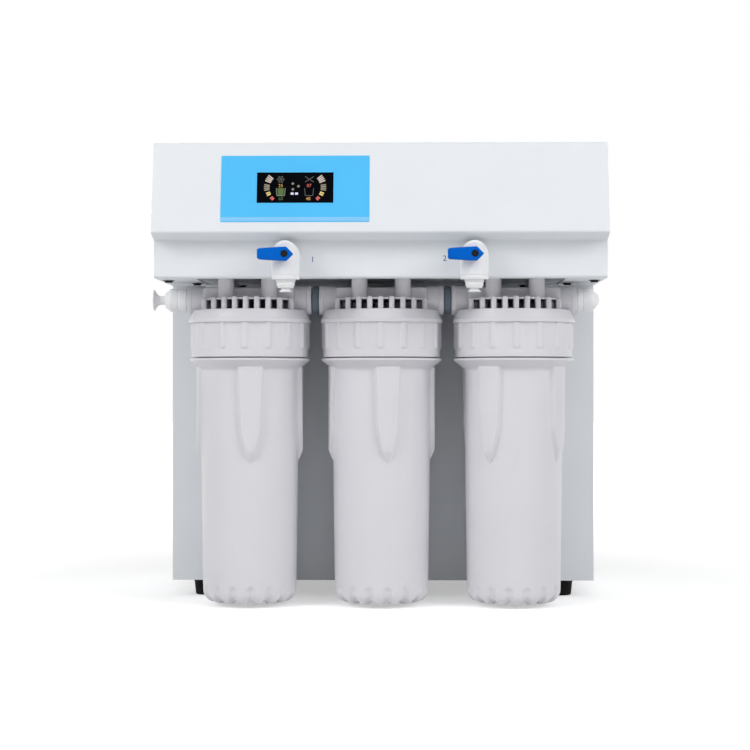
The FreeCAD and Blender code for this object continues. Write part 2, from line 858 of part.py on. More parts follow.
def grip_ribs(x):
    """Upright ribs evenly round the nut."""
    ribs = []
    count = int(val.grip_rib_count)
    for i in range(count):
        rib = box(("nut_radius - grip_rib_height", "nut_radius + grip_rib_height"),
                  ("-grip_rib_width / 2", "grip_rib_width / 2"),
                  ("nut_base_z + grip_rib_start", "skirt_base_z"))
        holder = group(rib)
        turn = FreeCAD.Rotation(Z_AXIS, 360 * i / count - 90)
        holder.Placement = FreeCAD.Placement(FreeCAD.Vector(), turn)
        place(holder, x, "filter_y", "0")
        ribs.append(holder)
    return ribs


def comb(x):
    """Parallel ribs on the head's shoulder whose ends follow a circle."""
    count = int(val.comb_rib_count)
    ribs = []
    for i in range(count):
        middle = f"({x}) + ({i} - {count - 1} / 2) * comb_rib_pitch"
        ribs.append(box((f"{middle} - comb_rib_width / 2", f"{middle} + comb_rib_width / 2"),
                        ("filter_y - comb_radius", "filter_y + comb_radius"),
                        ("comb_base_z", "comb_base_z + comb_height")))
    disc = rod("Z", "comb_base_z", "comb_base_z + comb_height", (x, "filter_y"), "comb_radius")
    return common(disc, group(*ribs))


def filter_head(i):
    """Head of a housing: nut, skirt, comb, manifold, two side ports and four bosses."""
    x = f"{i} * filter_pitch"
    shell = turned(head_shell_points(), x, "filter_y")
    manifold = box((f"{x} - port_root", f"{x} + port_root"),
                   ("filter_y - manifold_width / 2", "filter_y + manifold_width / 2"),
                   ("comb_base_z", "comb_base_z + manifold_rise"))
    at = ("filter_y", "port_z")
    ports = [
        rod("X", f"{x} - port_reach", f"{x} - port_root + port_radius / 2", at, "port_radius"),
        rod("X", f"{x} + port_root - port_radius / 2", f"{x} + port_reach", at, "port_radius"),
    ]
    bosses = []
    holes = []
    for sx in (-1, 1):
        for sy in (-1, 1):
            boss_at = (f"{x} + {sx} * boss_pitch_x / 2", f"filter_y + {sy} * boss_pitch_y / 2")
            bosses.append(rod("Z", "comb_base_z", "bracket_low_z", boss_at, "boss_radius"))
            holes.append(rod("Z", "bracket_top_z - filter_screw_length - overrun",
                             "bracket_low_z + overrun", boss_at, "filter_screw_radius + screw_hole_gap"))
    passages = [
        rod("X", f"{x} - port_reach - overrun", f"{x} - port_reach + socket_depth", at, "socket_radius"),
        rod("X", f"{x} + port_reach - socket_depth", f"{x} + port_reach + overrun", at, "socket_radius"),
        rod("X", f"{x} - port_reach", f"{x} - feed_drop_x", at, "passage_radius"),
        rod("Z", "ceiling_z - overrun", "port_z", (f"{x} - feed_drop_x", "filter_y"), "passage_radius"),
        rod("X", x, f"{x} + port_reach", at, "passage_radius"),
        rod("Z", "nipple_end_z - overrun", "port_z", (x, "filter_y"), "passage_radius"),
    ]
    solid = fuse(shell, manifold, comb(x), *ports, *bosses, *grip_ribs(x))
    return cut(solid, *holes, *passages)


def bowl_points():
    """Radius and height of the bowl's turned part, with its floor spigot and neck."""
    return [
        ("0", "bowl_base_z"),
        ("bowl_base_radius", "bowl_base_z"),
        ("bowl_middle_radius", "bowl_middle_z"),
        ("bowl_top_radius", "cone_base_z"),
        ("bowl_flange_radius", "cone_top_z"),
        ("bowl_flange_radius", "flange_top_z"),
        ("neck_radius", "flange_top_z"),
        ("neck_radius", "seal_z - seal_cord / 2"),
        ("seal_ring_radius - seal_cord / 2", "seal_z - seal_cord / 2"),
        ("seal_ring_radius - seal_cord / 2", "seal_z + seal_cord / 2"),
        ("neck_radius", "seal_z + seal_cord / 2"),
        ("neck_radius", "neck_top_z"),
        ("neck_bore_radius", "neck_top_z"),
        ("neck_bore_radius", "cone_base_z"),
        ("bowl_middle_radius - bowl_wall", "bowl_middle_z"),
        ("bowl_base_radius - bowl_wall", "floor_z"),
        ("spigot_core_radius", "floor_z"),
        ("spigot_core_radius", "floor_z + spigot_height"),
        ("0", "floor_z + spigot_height"),
    ]


def leaf_ribs():
    """Four long ribs under the flange, each narrowing to a point and running out into the bowl."""
    top_z = "cone_base_z + leaf_corner"
    point_z = f"{top_z} - leaf_length"
    side = [
        ("leaf_waist / 2", f"{point_z} + leaf_taper"),
        ("leaf_width / 2", "cone_base_z - leaf_corner"),
        ("leaf_width / 2", "cone_base_z"),
        ("leaf_width / 2 - leaf_corner", top_z),
    ]
    points = [("0", point_z)] + side + [(f"-({x})", z) for x, z in reversed(side)]
    through = extruded("XZ_Plane", points, "bowl_flange_radius * 2", middle=True)
    across = extruded("XZ_Plane", points, "bowl_flange_radius * 2", middle=True)
    across.Placement = FreeCAD.Placement(FreeCAD.Vector(), FreeCAD.Rotation(Z_AXIS, 90))
    crest = "bowl_top_radius + leaf_rise"
    nose = cone("Z", point_z, f"{point_z} + leaf_nose", ("0", "0"), "bowl_middle_radius", crest)
    body = rod("Z", f"{point_z} + leaf_nose", top_z, ("0", "0"), crest)
    core = rod("Z", point_z, top_z, ("0", "0"), "bowl_middle_radius - bowl_wall / 2")
    return cut(common(fuse(nose, body), fuse(through, across)), core)


def foot_flutes():
    """Upright grooves with round tops, evenly round the bowl's foot."""
    flutes = []
    count = int(val.flute_count)
    reach = "bowl_base_radius - flute_depth + flute_radius"
    top_z = "bowl_base_z + flute_height"
    for i in range(count):
        groove = fuse(
            rod("Z", "bowl_base_z - overrun", top_z, (reach, "0"), "flute_radius"),
            ball(reach, "0", top_z, "flute_radius"),
        )
        turn = FreeCAD.Rotation(Z_AXIS, 360 * i / count)
        groove.Placement = FreeCAD.Placement(FreeCAD.Vector(), turn)
        flutes.append(groove)
    return flutes


def filter_bowl(i, turn):
    """Screw-on bowl, turned so that its ribs point where the bowl was left."""
    shell = turned(bowl_points(), "0", "0")

    def on_foot(point):
        return near(point.z, val.bowl_base_z) and near(math.hypot(point.x, point.y), val.bowl_base_radius)

    rounded(shell, "bowl_foot_rounding", on_foot)
    bowl = cut(fuse(shell, leaf_ribs()), *foot_flutes())
    bowl.Placement = FreeCAD.Placement(FreeCAD.Vector(), FreeCAD.Rotation(Z_AXIS, 1))
    bowl.setExpression("Placement.Rotation.Angle", linked(turn))
    place(bowl, f"{i} * filter_pitch", "filter_y", "0")
    return bowl


def bowl_seal(i):
    """Round cord ring in the groove of the bowl's neck."""
    ring = doc.addObject("Part::Torus", "ring")
    ring.setExpression("Radius1", linked("seal_ring_radius"))
    ring.setExpression("Radius2", linked("seal_cord / 2"))
    place(ring, f"{i} * filter_pitch", "filter_y", "seal_z")
    return ring


def cartridge(i, capped):
    """Ten-inch cartridge with a through bore; capped ones have a wider disc at each end."""
    at = (f"{i} * filter_pitch", "filter_y")
    core = rod("Z", "floor_z", "cartridge_top_z", at, "cartridge_radius")
    bore = rod("Z", "floor_z - overrun", "cartridge_top_z + overrun", at, "cartridge_bore_radius")
    if not capped:
        return cut(core, bore)
    caps = [
        rod("Z", "floor_z", "floor_z + cartridge_cap_height", at, "cartridge_radius + cartridge_cap_rim"),
        rod("Z", "cartridge_top_z - cartridge_cap_height", "cartridge_top_z", at,
            "cartridge_radius + cartridge_cap_rim"),
    ]
    return cut(fuse(core, *caps), bore)


# Couplings and fittings

def coupling(i):
    """Nipple between two neighbouring heads, with a collar that fills the gap."""
    left_face = f"{i} * filter_pitch + port_reach"
    right_face = f"{i + 1} * filter_pitch - port_reach"
    at = ("filter_y", "port_z")
    stem = rod("X", f"{left_face} - fitting_insert", f"{right_face} + fitting_insert", at, "fitting_radius")
    collar = rod("X", left_face, right_face, at, "coupling_radius")
    bore = rod("X", f"{left_face} - fitting_insert - overrun", f"{right_face} + fitting_insert + overrun",
               at, "passage_radius")
    return cut(fuse(stem, collar), bore)


def inlet_connector():
    """Push-fit connector screwed into the first head's outer port."""
    at = ("filter_y", "port_z")
    insert = rod("X", "-right_port_x", "-right_port_x + fitting_insert", at, "fitting_radius")
    body = rod("X", "-right_port_x - inlet_body_length", "-right_port_x", at, "inlet_body_radius")
    nose = cone("X", "-inlet_end_x", "-right_port_x - inlet_body_length", at, "inlet_nose_radius",
                "inlet_body_radius")
    bore = rod("X", "-inlet_end_x - overrun", "-right_port_x + fitting_insert + overrun", at, "bore_radius")
    hole = rod("X", "-inlet_end_x - overrun", "-inlet_end_x + collet_hole_depth", at, "collet_hole_radius")
    return cut(fuse(insert, body, nose), bore, hole)


def inlet_collet():
    """Collet with a wide trumpet rim, free to be pushed in to let the tube go."""
    at = ("filter_y", "port_z")
    rim = rod("X", "-trumpet_x", "-trumpet_x + trumpet_rim", at, "trumpet_radius")
    flare = cone("X", "-trumpet_x + trumpet_rim", "-trumpet_x + trumpet_rim + trumpet_length", at,
                 "trumpet_radius", "collet_neck_radius")
    end = "-inlet_end_x + collet_length - collet_show"
    neck = rod("X", "-trumpet_x + trumpet_rim", end, at, "collet_neck_radius")
    bore = rod("X", "-trumpet_x - overrun", f"{end} + overrun", at, "collet_bore_radius")
    return cut(fuse(rim, flare, neck), bore)


def outlet_elbow():
    """Elbow from the last head's outer port back towards the cabinet."""
    at = ("filter_y", "port_z")
    insert = rod("X", "right_port_x - fitting_insert", "right_port_x", at, "fitting_radius")
    body = rod("X", "right_port_x", "elbow_x", at, "elbow_radius")
    knee = ball("elbow_x", "filter_y", "port_z", "elbow_radius")
    arm_at = ("elbow_x", "port_z")
    arm = rod("Y", "filter_y", "elbow_end_y", arm_at, "elbow_arm_radius")
    bore = rod("X", "right_port_x - fitting_insert - overrun", "elbow_x", at, "bore_radius")
    back = rod("Y", "filter_y", "elbow_end_y", arm_at, "bore_radius")
    seat = rod("Y", "elbow_end_y - feed_tube_insert", "elbow_end_y + overrun", arm_at,
               "feed_tube_radius + collet_bore_gap")
    return cut(fuse(insert, body, knee, arm), bore, back, seat)


def tube(points, radius, wall, bend):
    """Hollow tube along straight runs joined by tangent arcs, as a solid set from numbers."""
    spots = [FreeCAD.Vector(*point) for point in points]
    edges = []
    start = spots[0]
    for before, corner, after in zip(spots, spots[1:], spots[2:]):
        toward = (before - corner).normalize()
        away = (after - corner).normalize()
        half_turn = (math.pi - toward.getAngle(away)) / 2
        setback = bend * math.tan(half_turn)
        first = corner + toward * setback
        last = corner + away * setback
        middle = (toward + away).normalize()
        crown = corner + middle * (bend / math.cos(half_turn) - bend)
        edges.append(Part.LineSegment(start, first).toShape())
        edges.append(Part.Arc(first, crown, last).toShape())
        start = last
    edges.append(Part.LineSegment(start, spots[-1]).toShape())
    path = Part.Wire(edges)
    solids = []
    for size in (radius, radius - wall):
        ring = Part.Wire([Part.Circle(spots[0], spots[1] - spots[0], size).toShape()])
        solids.append(path.makePipeShell([ring], True, False))
    solid = solids[0].cut(solids[1])
    expected = math.pi * (radius ** 2 - (radius - wall) ** 2) * path.Length
    print(f"tube of {path.Length:.1f} mm, volume over section times length {solid.Volume / expected:.4f}")
    return solid


def feature(shape):
    """Document object that holds a shape made in code."""
    item = doc.addObject("Part::Feature", "formed")
    item.Shape = shape
    return item


def feed_tube():
    """Tube from the outlet elbow through the cabinet's front to the pump's inlet."""
    pump_x = val.pump_x + val.pump_port_x
    pump_y = val.pump_y - val.pump_port_y
    points = [
        (val.elbow_x, val.elbow_end_y - val.feed_tube_insert, val.port_z),
        (val.elbow_x, val.flange_width + val.feed_tube_bend, val.port_z),
        (pump_x, pump_y, val.port_z - val.feed_tube_bend * 2),
        (pump_x, pump_y, val.pump_head_top_z + val.pump_port_height),
    ]
    return feature(tube(points, val.feed_tube_radius, val.feed_tube_wall, val.feed_tube_bend))


# Lever valves

def valve_body(sign):
    """White elbow body: upright barrel with a round crown, neck, collet cap and threaded shank."""
    x = f"{sign} * valve_x"
    across = (x, "pivot_z")
    upright = (x, "valve_y")
    crown = common(
        rod("Z", "pivot_z", "pivot_z + valve_radius", upright, "valve_radius"),
        rod("Y", "valve_y - valve_radius - overrun", "valve_y + valve_radius + overrun", across,
            "valve_radius"),
    )
    solids = [
        crown,
        rod("Z", "valve_base_z", "pivot_z", upright, "valve_radius"),
        rod("Y", "valve_y", "hood_low_y", across, "valve_neck_radius"),
        rod("Y", "valve_front_y", "valve_y", across, "valve_boss_radius"),
        rod("Z", "valve_base_z - cap_step", "valve_base_z", upright, "cap_radius"),
        cone("Z", "cap_base_z", "valve_base_z - cap_step", upright, "cap_tip_radius", "cap_radius"),
        rod("Y", "valve_y", "rail_y", across, "shank_radius"),
        rod("Y", "rail_y", "shank_end_y", across, "thread_radius"),
    ]
    groove_z = "valve_base_z + valve_groove_rise"
    groove = cut(
        rod("Z", groove_z, f"{groove_z} + valve_groove", upright, "valve_radius + overrun"),
        rod("Z", groove_z, f"{groove_z} + valve_groove", upright, "valve_radius - valve_groove"),
    )
    hollows = [
        ball(x, "valve_y", "pivot_z", "ball_radius + running_gap"),
        rod("Y", "valve_front_y - overrun", "valve_y", across, "stem_radius + running_gap"),
        rod("Y", "valve_y", "shank_end_y + overrun", across, "bore_radius"),
        rod("Z", "cap_base_z", "pivot_z", upright, "bore_radius"),
        rod("Z", "cap_base_z - overrun", "cap_base_z + collet_hole_depth", upright, "collet_hole_radius"),
    ]
    return cut(fuse(*solids), groove, *hollows)


def valve_ball(sign):
    """Ball with an angled passage, one piece with the stem that the lever turns."""
    x = f"{sign} * valve_x"
    across = (x, "pivot_z")
    sphere = ball(x, "valve_y", "pivot_z", "ball_radius")
    stem = rod("Y", "lever_back_y - hub_depth + running_gap", "valve_y", across, "stem_radius")
    bores = [
        rod("Y", "valve_y", "valve_y + ball_radius + overrun", across, "bore_radius"),
        rod("X", f"{x} - ball_radius - overrun", x, ("valve_y", "pivot_z"), "bore_radius"),
        rod("Y", "lever_back_y - hub_depth - overrun",
            "lever_front_y + recess_depth + lever_screw_length + running_gap", across,
            "lever_screw_radius + running_gap"),
    ]
    return cut(fuse(sphere, stem), *bores)


def valve_lever(sign):
    """Blue lever: a tapering handle to the left and an arrow point to the right."""
    x = f"{sign} * valve_x"
    points = [
        ("-lever_reach", "-lever_end_width / 2"),
        ("-lever_reach", "lever_end_width / 2"),
        ("0", "lever_hub_width / 2"),
        ("lever_cheek", "lever_hub_width / 2"),
        ("lever_tip", "0"),
        ("lever_cheek", "-lever_hub_width / 2"),
        ("0", "-lever_hub_width / 2"),
    ]
    plate = extruded("XZ_Plane", points, "lever_thickness")
    place(plate, x, "lever_back_y", "pivot_z")
    across = (x, "pivot_z")
    recess = rod("Y", "lever_front_y - overrun", "lever_front_y + recess_depth", across, "recess_radius")
    hub = rod("Y", "lever_back_y - hub_depth", "lever_back_y + overrun", across, "stem_radius + running_gap")
    hole = rod("Y", "lever_front_y", "lever_back_y", across, "lever_screw_radius + running_gap")
    return cut(plate, recess, hub, hole)


def lever_screw(sign):
    """Screw in the lever's recess that holds the lever on its stem."""
    across = (f"{sign} * valve_x", "pivot_z")
    seat = "lever_front_y + recess_depth"
    head = rod("Y", f"{seat} - lever_screw_head_height", seat, across, "lever_screw_head_radius")
    shank = rod("Y", seat, f"{seat} + lever_screw_length", across, "lever_screw_radius")
    return fuse(head, shank)


def valve_collet(sign):
    """Collet under the valve, pushed up to let the tube go."""
    at = (f"{sign} * valve_x", "valve_y")
    flange = rod("Z", "collet_end_z", "collet_end_z + collet_flange", at, "collet_flange_radius")
    neck = rod("Z", "collet_end_z", "collet_end_z + collet_length", at, "collet_neck_radius")
    bore = rod("Z", "collet_end_z - overrun", "collet_end_z + collet_length + overrun", at,
               "collet_bore_radius")
    return cut(fuse(flange, neck), bore)


def valve_locknut(sign):
    """Hexagon nut that clamps the valve's shank to the rail."""
    nut = doc.addObject("Part::Prism", "nut")
    nut.Polygon = 6
    nut.Placement = FreeCAD.Placement(FreeCAD.Vector(), TURNS["Y"])
    nut.setExpression("Circumradius", linked("nut_corner_radius"))
    nut.setExpression("Height", linked("nut_thickness"))
    across = (f"{sign} * valve_x", "pivot_z")
    place(nut, across[0], "rail_y + sheet_gauge", across[1])
    hole = rod("Y", "rail_y", "shank_end_y", across, "thread_radius + running_gap")
    return cut(nut, hole)


def valve_rail():
    """Angle inside the hood that both valve shanks are clamped to."""
    x = ("-valve_x - rail_margin", "valve_x + rail_margin")
    wall = box(x, ("rail_y", "rail_y + sheet_gauge"), ("bracket_top_z", "bracket_top_z + rail_height"))
    leg = box(x, ("rail_y", "rail_y + flange_width"), ("bracket_top_z", "bracket_top_z + sheet_gauge"))
    holes = [
        rod("Y", "rail_y - overrun", "rail_y + sheet_gauge + overrun", (f"{sign} * valve_x", "pivot_z"),
            "thread_radius + screw_hole_gap")
        for sign in (-1, 1)
    ]
    return cut(fuse(wall, leg), *holes)


# Control panel

def control_fascia():
    """Blue overlay on the brow with a window."""
    plate = box(("-fascia_left", "-fascia_left + fascia_width"), ("-fascia_thickness", "0"),
                ("fascia_low", "fascia_low + fascia_height"))
    hole = box(window_x("window_gap"), ("-fascia_thickness - overrun", "overrun"), window_z("window_gap"))
    return tilt_to_brow(cut(plate, hole), "0", "bend_y", "bend_z")


def display_window():
    """Dark lens that fills the window flush with the fascia."""
    lens = box(window_x("0"), ("-fascia_thickness", "sheet_gauge"), window_z("0"))
    return tilt_to_brow(group(lens), "0", "bend_y", "bend_z")


def display_board():
    """Display module on its circuit board, on four stand-offs behind the brow."""
    module = box(window_x("0"), ("sheet_gauge", "sheet_gauge + display_depth"), window_z("0"))
    y = ("sheet_gauge + display_depth", "sheet_gauge + display_depth + board_gauge")
    board = box(window_x("display_margin"), y, window_z("display_margin"))
    standoffs = [
        rod("Y", "sheet_gauge", y[0], (corner_x, corner_z), "standoff_radius")
        for corner_x in window_x("standoff_inset") for corner_z in window_z("standoff_inset")
    ]
    return tilt_to_brow(fuse(module, board, *standoffs), "0", "bend_y", "bend_z")


def control_board():
    """Controller board on stand-offs inside the rear panel, with its relays and terminals."""
    half = "control_board_width / 2"
    top = "lid_z - flange_width - control_board_drop"
    bottom = f"{top} - control_board_height"
    face_y = "rear_inner_y - control_board_standoff"
    front_y = f"{face_y} - board_gauge"
    board = box((f"-{half}", half), (front_y, face_y), (bottom, top))
    standoffs = [
        rod("Y", face_y, "rear_inner_y", (f"{sign} * ({half} - standoff_inset)", z), "standoff_radius")
        for sign in (-1, 1)
        for z in (f"{bottom} + standoff_inset", f"{top} - standoff_inset")
    ]
    parts_y = (f"{front_y} - component_height", front_y)
    relay = box((f"-{half} + component_height", f"-{half} + component_height + relay_width"), parts_y,
                (f"{bottom} + component_height", f"{bottom} + component_height + relay_width"))
    terminals = box(("-component_height", f"{half} - component_height"), parts_y,
                    (f"{bottom} + component_height / 2", f"{bottom} + relay_width"))
    return fuse(board, relay, terminals, *standoffs)


# Pump, membrane, resin column and supply

def pump_head():
    """Square diaphragm pump head on the tray, with two ports on top."""
    half = "pump_head_width / 2"
    block = box((f"pump_x - {half}", f"pump_x + {half}"), (f"pump_y - {half}", f"pump_y + {half}"),
                ("tray_top_z", "pump_head_top_z"))
    ports = []
    bores = []
    for sign in (-1, 1):
        at = (f"pump_x + {sign} * pump_port_x", "pump_y - pump_port_y")
        ports.append(rod("Z", "pump_head_top_z", "pump_head_top_z + pump_port_height", at,
                         "pump_port_radius"))
        bores.append(rod("Z", "pump_head_top_z - pump_port_height",
                         "pump_head_top_z + pump_port_height + overrun", at, "bore_radius"))
    return cut(fuse(block, *ports), *bores)


def pump_motor():
    """Motor can standing on the pump head, with a smaller end bell."""
    at = ("pump_x", "pump_y")
    top = "pump_head_top_z + pump_motor_length"
    can = rod("Z", "pump_head_top_z", f"{top} - component_height", at, "pump_motor_radius")
    bell = cone("Z", f"{top} - component_height", top, at, "pump_motor_radius",
                "pump_motor_radius - component_height / 2")
    return fuse(can, bell)


def vessel_port_places():
    """Plan positions of the three ports on the membrane vessel's cap."""
    return [
        ("vessel_x + vessel_port_x", "vessel_y"),
        ("vessel_x - vessel_port_x", "vessel_y"),
        ("vessel_x", "vessel_y - vessel_port_y"),
    ]


def membrane_vessel():
    """Pressure vessel for the membrane, with a wider cap, three top ports and a drain spigot."""
    at = ("vessel_x", "vessel_y")
    wall = rod("Z", "tray_top_z", "vessel_top_z", at, "vessel_radius")
    cap = rod("Z", "vessel_top_z - vessel_cap_height", "vessel_top_z", at, "vessel_cap_radius")
    ports = [
        rod("Z", "vessel_top_z", "vessel_top_z + spigot_rise", port_at, "spigot_radius")
        for port_at in vessel_port_places()
    ]
    drain_at = ("vessel_y", "drain_z")
    drain_end = "vessel_x + vessel_radius + spigot_rise"
    drain = rod("X", "vessel_x + vessel_radius - vessel_wall", drain_end, drain_at, "spigot_radius")
    inside = rod("Z", "tray_top_z + vessel_end", "vessel_top_z - vessel_end", at,
                 "vessel_radius - vessel_wall")
    bores = [
        rod("Z", "vessel_top_z - vessel_end - overrun", "vessel_top_z + spigot_rise + overrun", port_at,
            "bore_radius")
        for port_at in vessel_port_places()
    ]
    drain_bore = rod("X", "vessel_x", f"{drain_end} + overrun", drain_at, "bore_radius")
    return cut(fuse(wall, cap, drain, *ports), inside, drain_bore, *bores)


def membrane_element():
    """Wound membrane with a narrow product stem at each end, held between the vessel's ends."""
    at = ("vessel_x", "vessel_y")
    low = "tray_top_z + vessel_end"
    high = "vessel_top_z - vessel_end"
    roll = rod("Z", f"{low} + element_stem", f"{high} - element_stem", at, "element_radius")
    stem = rod("Z", low, high, at, "element_stem_radius")
    return fuse(roll, stem)


def resin_column():
    """Sealed deionising column with a cap at each end and two top ports."""
    at = ("column_x", "column_y")
    wall = rod("Z", "tray_top_z", "column_top_z", at, "column_radius")
    caps = [
        rod("Z", "tray_top_z", "tray_top_z + column_cap_height", at, "column_cap_radius"),
        rod("Z", "column_top_z - column_cap_height", "column_top_z", at, "column_cap_radius"),
    ]
    ports = []
    bores = []
    for sign in (-1, 1):
        port_at = (f"column_x + {sign} * column_port_x", "column_y")
        ports.append(rod("Z", "column_top_z", "column_top_z + spigot_rise", port_at, "spigot_radius"))
        bores.append(rod("Z", "column_top_z - spigot_rise", "column_top_z + spigot_rise + overrun", port_at,
                         "bore_radius"))
    return cut(fuse(wall, *caps, *ports), *bores)


def power_supply():
    """Caged switching supply flat on the tray."""
    return box(("supply_left", "supply_left + supply_width"),
               ("(cabinet_depth - supply_length) / 2", "(cabinet_depth + supply_length) / 2"),
               ("tray_top_z", "tray_top_z + supply_height"))


def internal_tubes():
    """Quarter-inch tubes between pump, membrane, column, valves and drain."""
    vessel_z = val.vessel_top_z + val.spigot_rise
    column_z = val.column_top_z + val.spigot_rise
    high_z = vessel_z + val.tube_rise
    feed_x = val.vessel_x + val.vessel_port_x
    out_x = val.vessel_x - val.vessel_port_x
    drain_x = val.vessel_x + val.vessel_radius + val.spigot_rise
    routes = [
        [
            (val.pump_x - val.pump_port_x, val.pump_y - val.pump_port_y,
             val.pump_head_top_z + val.pump_port_height),
            (val.pump_x - val.pump_port_x, val.pump_y - val.pump_port_y, high_z),
            (feed_x, val.vessel_y, high_z),
            (feed_x, val.vessel_y, vessel_z),
        ],
        [
            (out_x, val.vessel_y, vessel_z),
            (out_x, val.vessel_y, high_z),
            (val.column_x + val.column_port_x, val.column_y, high_z),
            (val.column_x + val.column_port_x, val.column_y, column_z),
        ],
        [
            (val.column_x - val.column_port_x, val.column_y, column_z),
            (val.column_x - val.column_port_x, val.column_y, val.pivot_z),
            (-val.valve_x, val.column_y - val.tube_turn_y, val.pivot_z),
            (-val.valve_x, val.shank_end_y, val.pivot_z),
        ],
        [
            (val.vessel_x, val.vessel_y - val.vessel_port_y, vessel_z),
            (val.vessel_x, val.vessel_y - val.vessel_port_y, val.pivot_z),
            (val.valve_x, val.column_y - val.tube_turn_y, val.pivot_z),
            (val.valve_x, val.shank_end_y, val.pivot_z),
        ],
        [
            (drain_x, val.vessel_y, val.drain_z),
            (val.drain_x, val.vessel_y, val.drain_z),
            (val.drain_x, val.rear_inner_y - val.drain_inner_length, val.drain_z),
        ],
    ]
    return feature(Part.makeCompound([
        tube(route, val.tube_radius, val.tube_wall, val.tube_bend) for route in routes
    ]))


# Rear panel fittings

def drain_port():
    """Bulkhead push-fit port through the rear panel."""
    at = ("drain_x", "drain_z")
    outer = rod("Y", "cabinet_depth", "cabinet_depth + drain_body_length", at, "drain_body_radius")
    neck = rod("Y", "rear_inner_y", "cabinet_depth", at, "thread_radius")
    inner = rod("Y", "rear_inner_y - drain_inner_length", "rear_inner_y", at, "drain_body_radius")
    bore = rod("Y", "rear_inner_y - drain_inner_length - overrun",
               "cabinet_depth + drain_body_length + overrun", at, "bore_radius")
    hole = rod("Y", "cabinet_depth + drain_body_length - collet_hole_depth",
               "cabinet_depth + drain_body_length + overrun", at, "collet_hole_radius")
    return cut(fuse(outer, neck, inner), bore, hole)


def drain_collet():
    """Collet in the drain port, pushed forwards to let the tube go."""
    at = ("drain_x", "drain_z")
    flange = rod("Y", "rear_reach - collet_flange", "rear_reach", at, "collet_flange_radius")
    neck = rod("Y", "rear_reach - collet_length", "rear_reach", at, "collet_neck_radius")
    bore = rod("Y", "rear_reach - collet_length - overrun", "rear_reach + overrun", at,
               "collet_bore_radius")
    return cut(fuse(flange, neck), bore)


def module_span(inset):
    """Left and right of the power module, drawn in by an inset."""
    return (f"-module_x - module_width / 2 + {inset}", f"-module_x + module_width / 2 - ({inset})")


def module_rise(inset):
    """Bottom and top of the power module, drawn in by an inset."""
    return (f"module_low + {inset}", f"module_low + module_height - ({inset})")


def power_socket():
    """Mains inlet module: flange, body, pin recess with three pins, and the rocker's well."""
    flange = box(module_span("0"), ("cabinet_depth", "cabinet_depth + module_flange"), module_rise("0"))
    body = box(module_span("module_body_inset"), ("cabinet_depth - module_body_depth", "cabinet_depth"),
               module_rise("module_body_inset"))
    face_y = "cabinet_depth + module_flange"
    low = "module_low + socket_low"
    recess = box(("-module_x - socket_width / 2", "-module_x + socket_width / 2"),
                 (f"{face_y} - socket_recess", f"{face_y} + overrun"), (low, f"{low} + socket_height"))
    pin_y = (f"{face_y} - socket_recess", f"{face_y} - socket_recess + pin_length")
    middle = f"{low} + socket_height / 2"
    pins = []
    for x_share, rise_share in PIN_PLACE_SHARES:
        x = f"-module_x + {x_share} * pin_spacing"
        z = f"{middle} + {rise_share} * pin_height"
        pins.append(box((f"{x} - pin_width / 2", f"{x} + pin_width / 2"), pin_y,
                        (f"{z} - pin_height / 2", f"{z} + pin_height / 2")))
    well_low = "module_low + rocker_low - rocker_gap"
    well = box(("-module_x - rocker_width / 2 - rocker_gap", "-module_x + rocker_width / 2 + rocker_gap"),
               (f"{face_y} - rocker_depth - rocker_depth / 2", f"{face_y} + overrun"),
               (well_low, "module_low + rocker_low + rocker_height + rocker_gap"))
    pivot = rod("X", "-module_x - rocker_width / 2 - rocker_gap - rocker_pin_length - running_gap",
                "-module_x + rocker_width / 2 + rocker_gap + rocker_pin_length + running_gap",
                rocker_pivot(), "rocker_pin_radius + running_gap")
    return fuse(cut(fuse(flange, body), recess, well, pivot), *pins)


def rocker_pivot():
    """Depth and height of the rocker's pivot."""
    return ("cabinet_depth + module_flange - rocker_depth / 2", "module_low + rocker_low + rocker_height / 2")


def power_rocker():
    """Rocker of the power switch with its pivot pins, standing proud at the lower edge."""
    pivot_y, pivot_height = rocker_pivot()
    low = f"{pivot_height} - rocker_height / 2"
    high = f"{pivot_height} + rocker_height / 2"
    points = [
        (f"{pivot_y} - rocker_depth / 4", f"{low} + rocker_root_inset"),
        (f"{pivot_y} - rocker_depth / 4", f"{high} - rocker_root_inset"),
        (f"{pivot_y} + rocker_depth / 4", f"{high} - rocker_end_gap"),
        (f"{pivot_y} + rocker_depth / 2", pivot_height),
        (f"{pivot_y} + rocker_depth / 2 + rocker_show", f"{low} + rocker_end_gap"),
        (f"{pivot_y} + rocker_depth / 4", f"{low} + rocker_end_gap"),
    ]
    button = extruded("YZ_Plane", points, "rocker_width", middle=True)
    place(button, "-module_x", "0", "0")
    pins = rod("X", "-module_x - rocker_width / 2 - rocker_gap - rocker_pin_length",
               "-module_x + rocker_width / 2 + rocker_gap + rocker_pin_length",
               (pivot_y, pivot_height), "rocker_pin_radius")
    return fuse(button, pins)


screw_holes = case_screw_holes()

node("base_tray", base_tray())
node("left_side_panel", side_panel(-1))
node("right_side_panel", side_panel(1))
node("lower_front_panel", lower_front_panel())
node("hood_front_panel", hood_front_panel())
node("top_cover", top_cover())
node("rear_panel", rear_panel())
node("filter_bracket", filter_bracket())
for side, sx in (("left", -1), ("right", 1)):
    node(f"foot_front_{side}", foot(sx, False))
    node(f"foot_rear_{side}", foot(sx, True))
node("case_screws", case_screws())
node("filter_screws", filter_screws())

for name, i in (("left", -1), ("middle", 0), ("right", 1)):
    node(f"filter_head_{name}", filter_head(i))
    node(f"filter_bowl_{name}", filter_bowl(i, f"leaf_turn_{name}"))
    node(f"bowl_seal_{name}", bowl_seal(i))
node("sediment_cartridge", cartridge(-1, False))
node("carbon_cartridge", cartridge(0, True))
node("carbon_block_cartridge", cartridge(1, True))

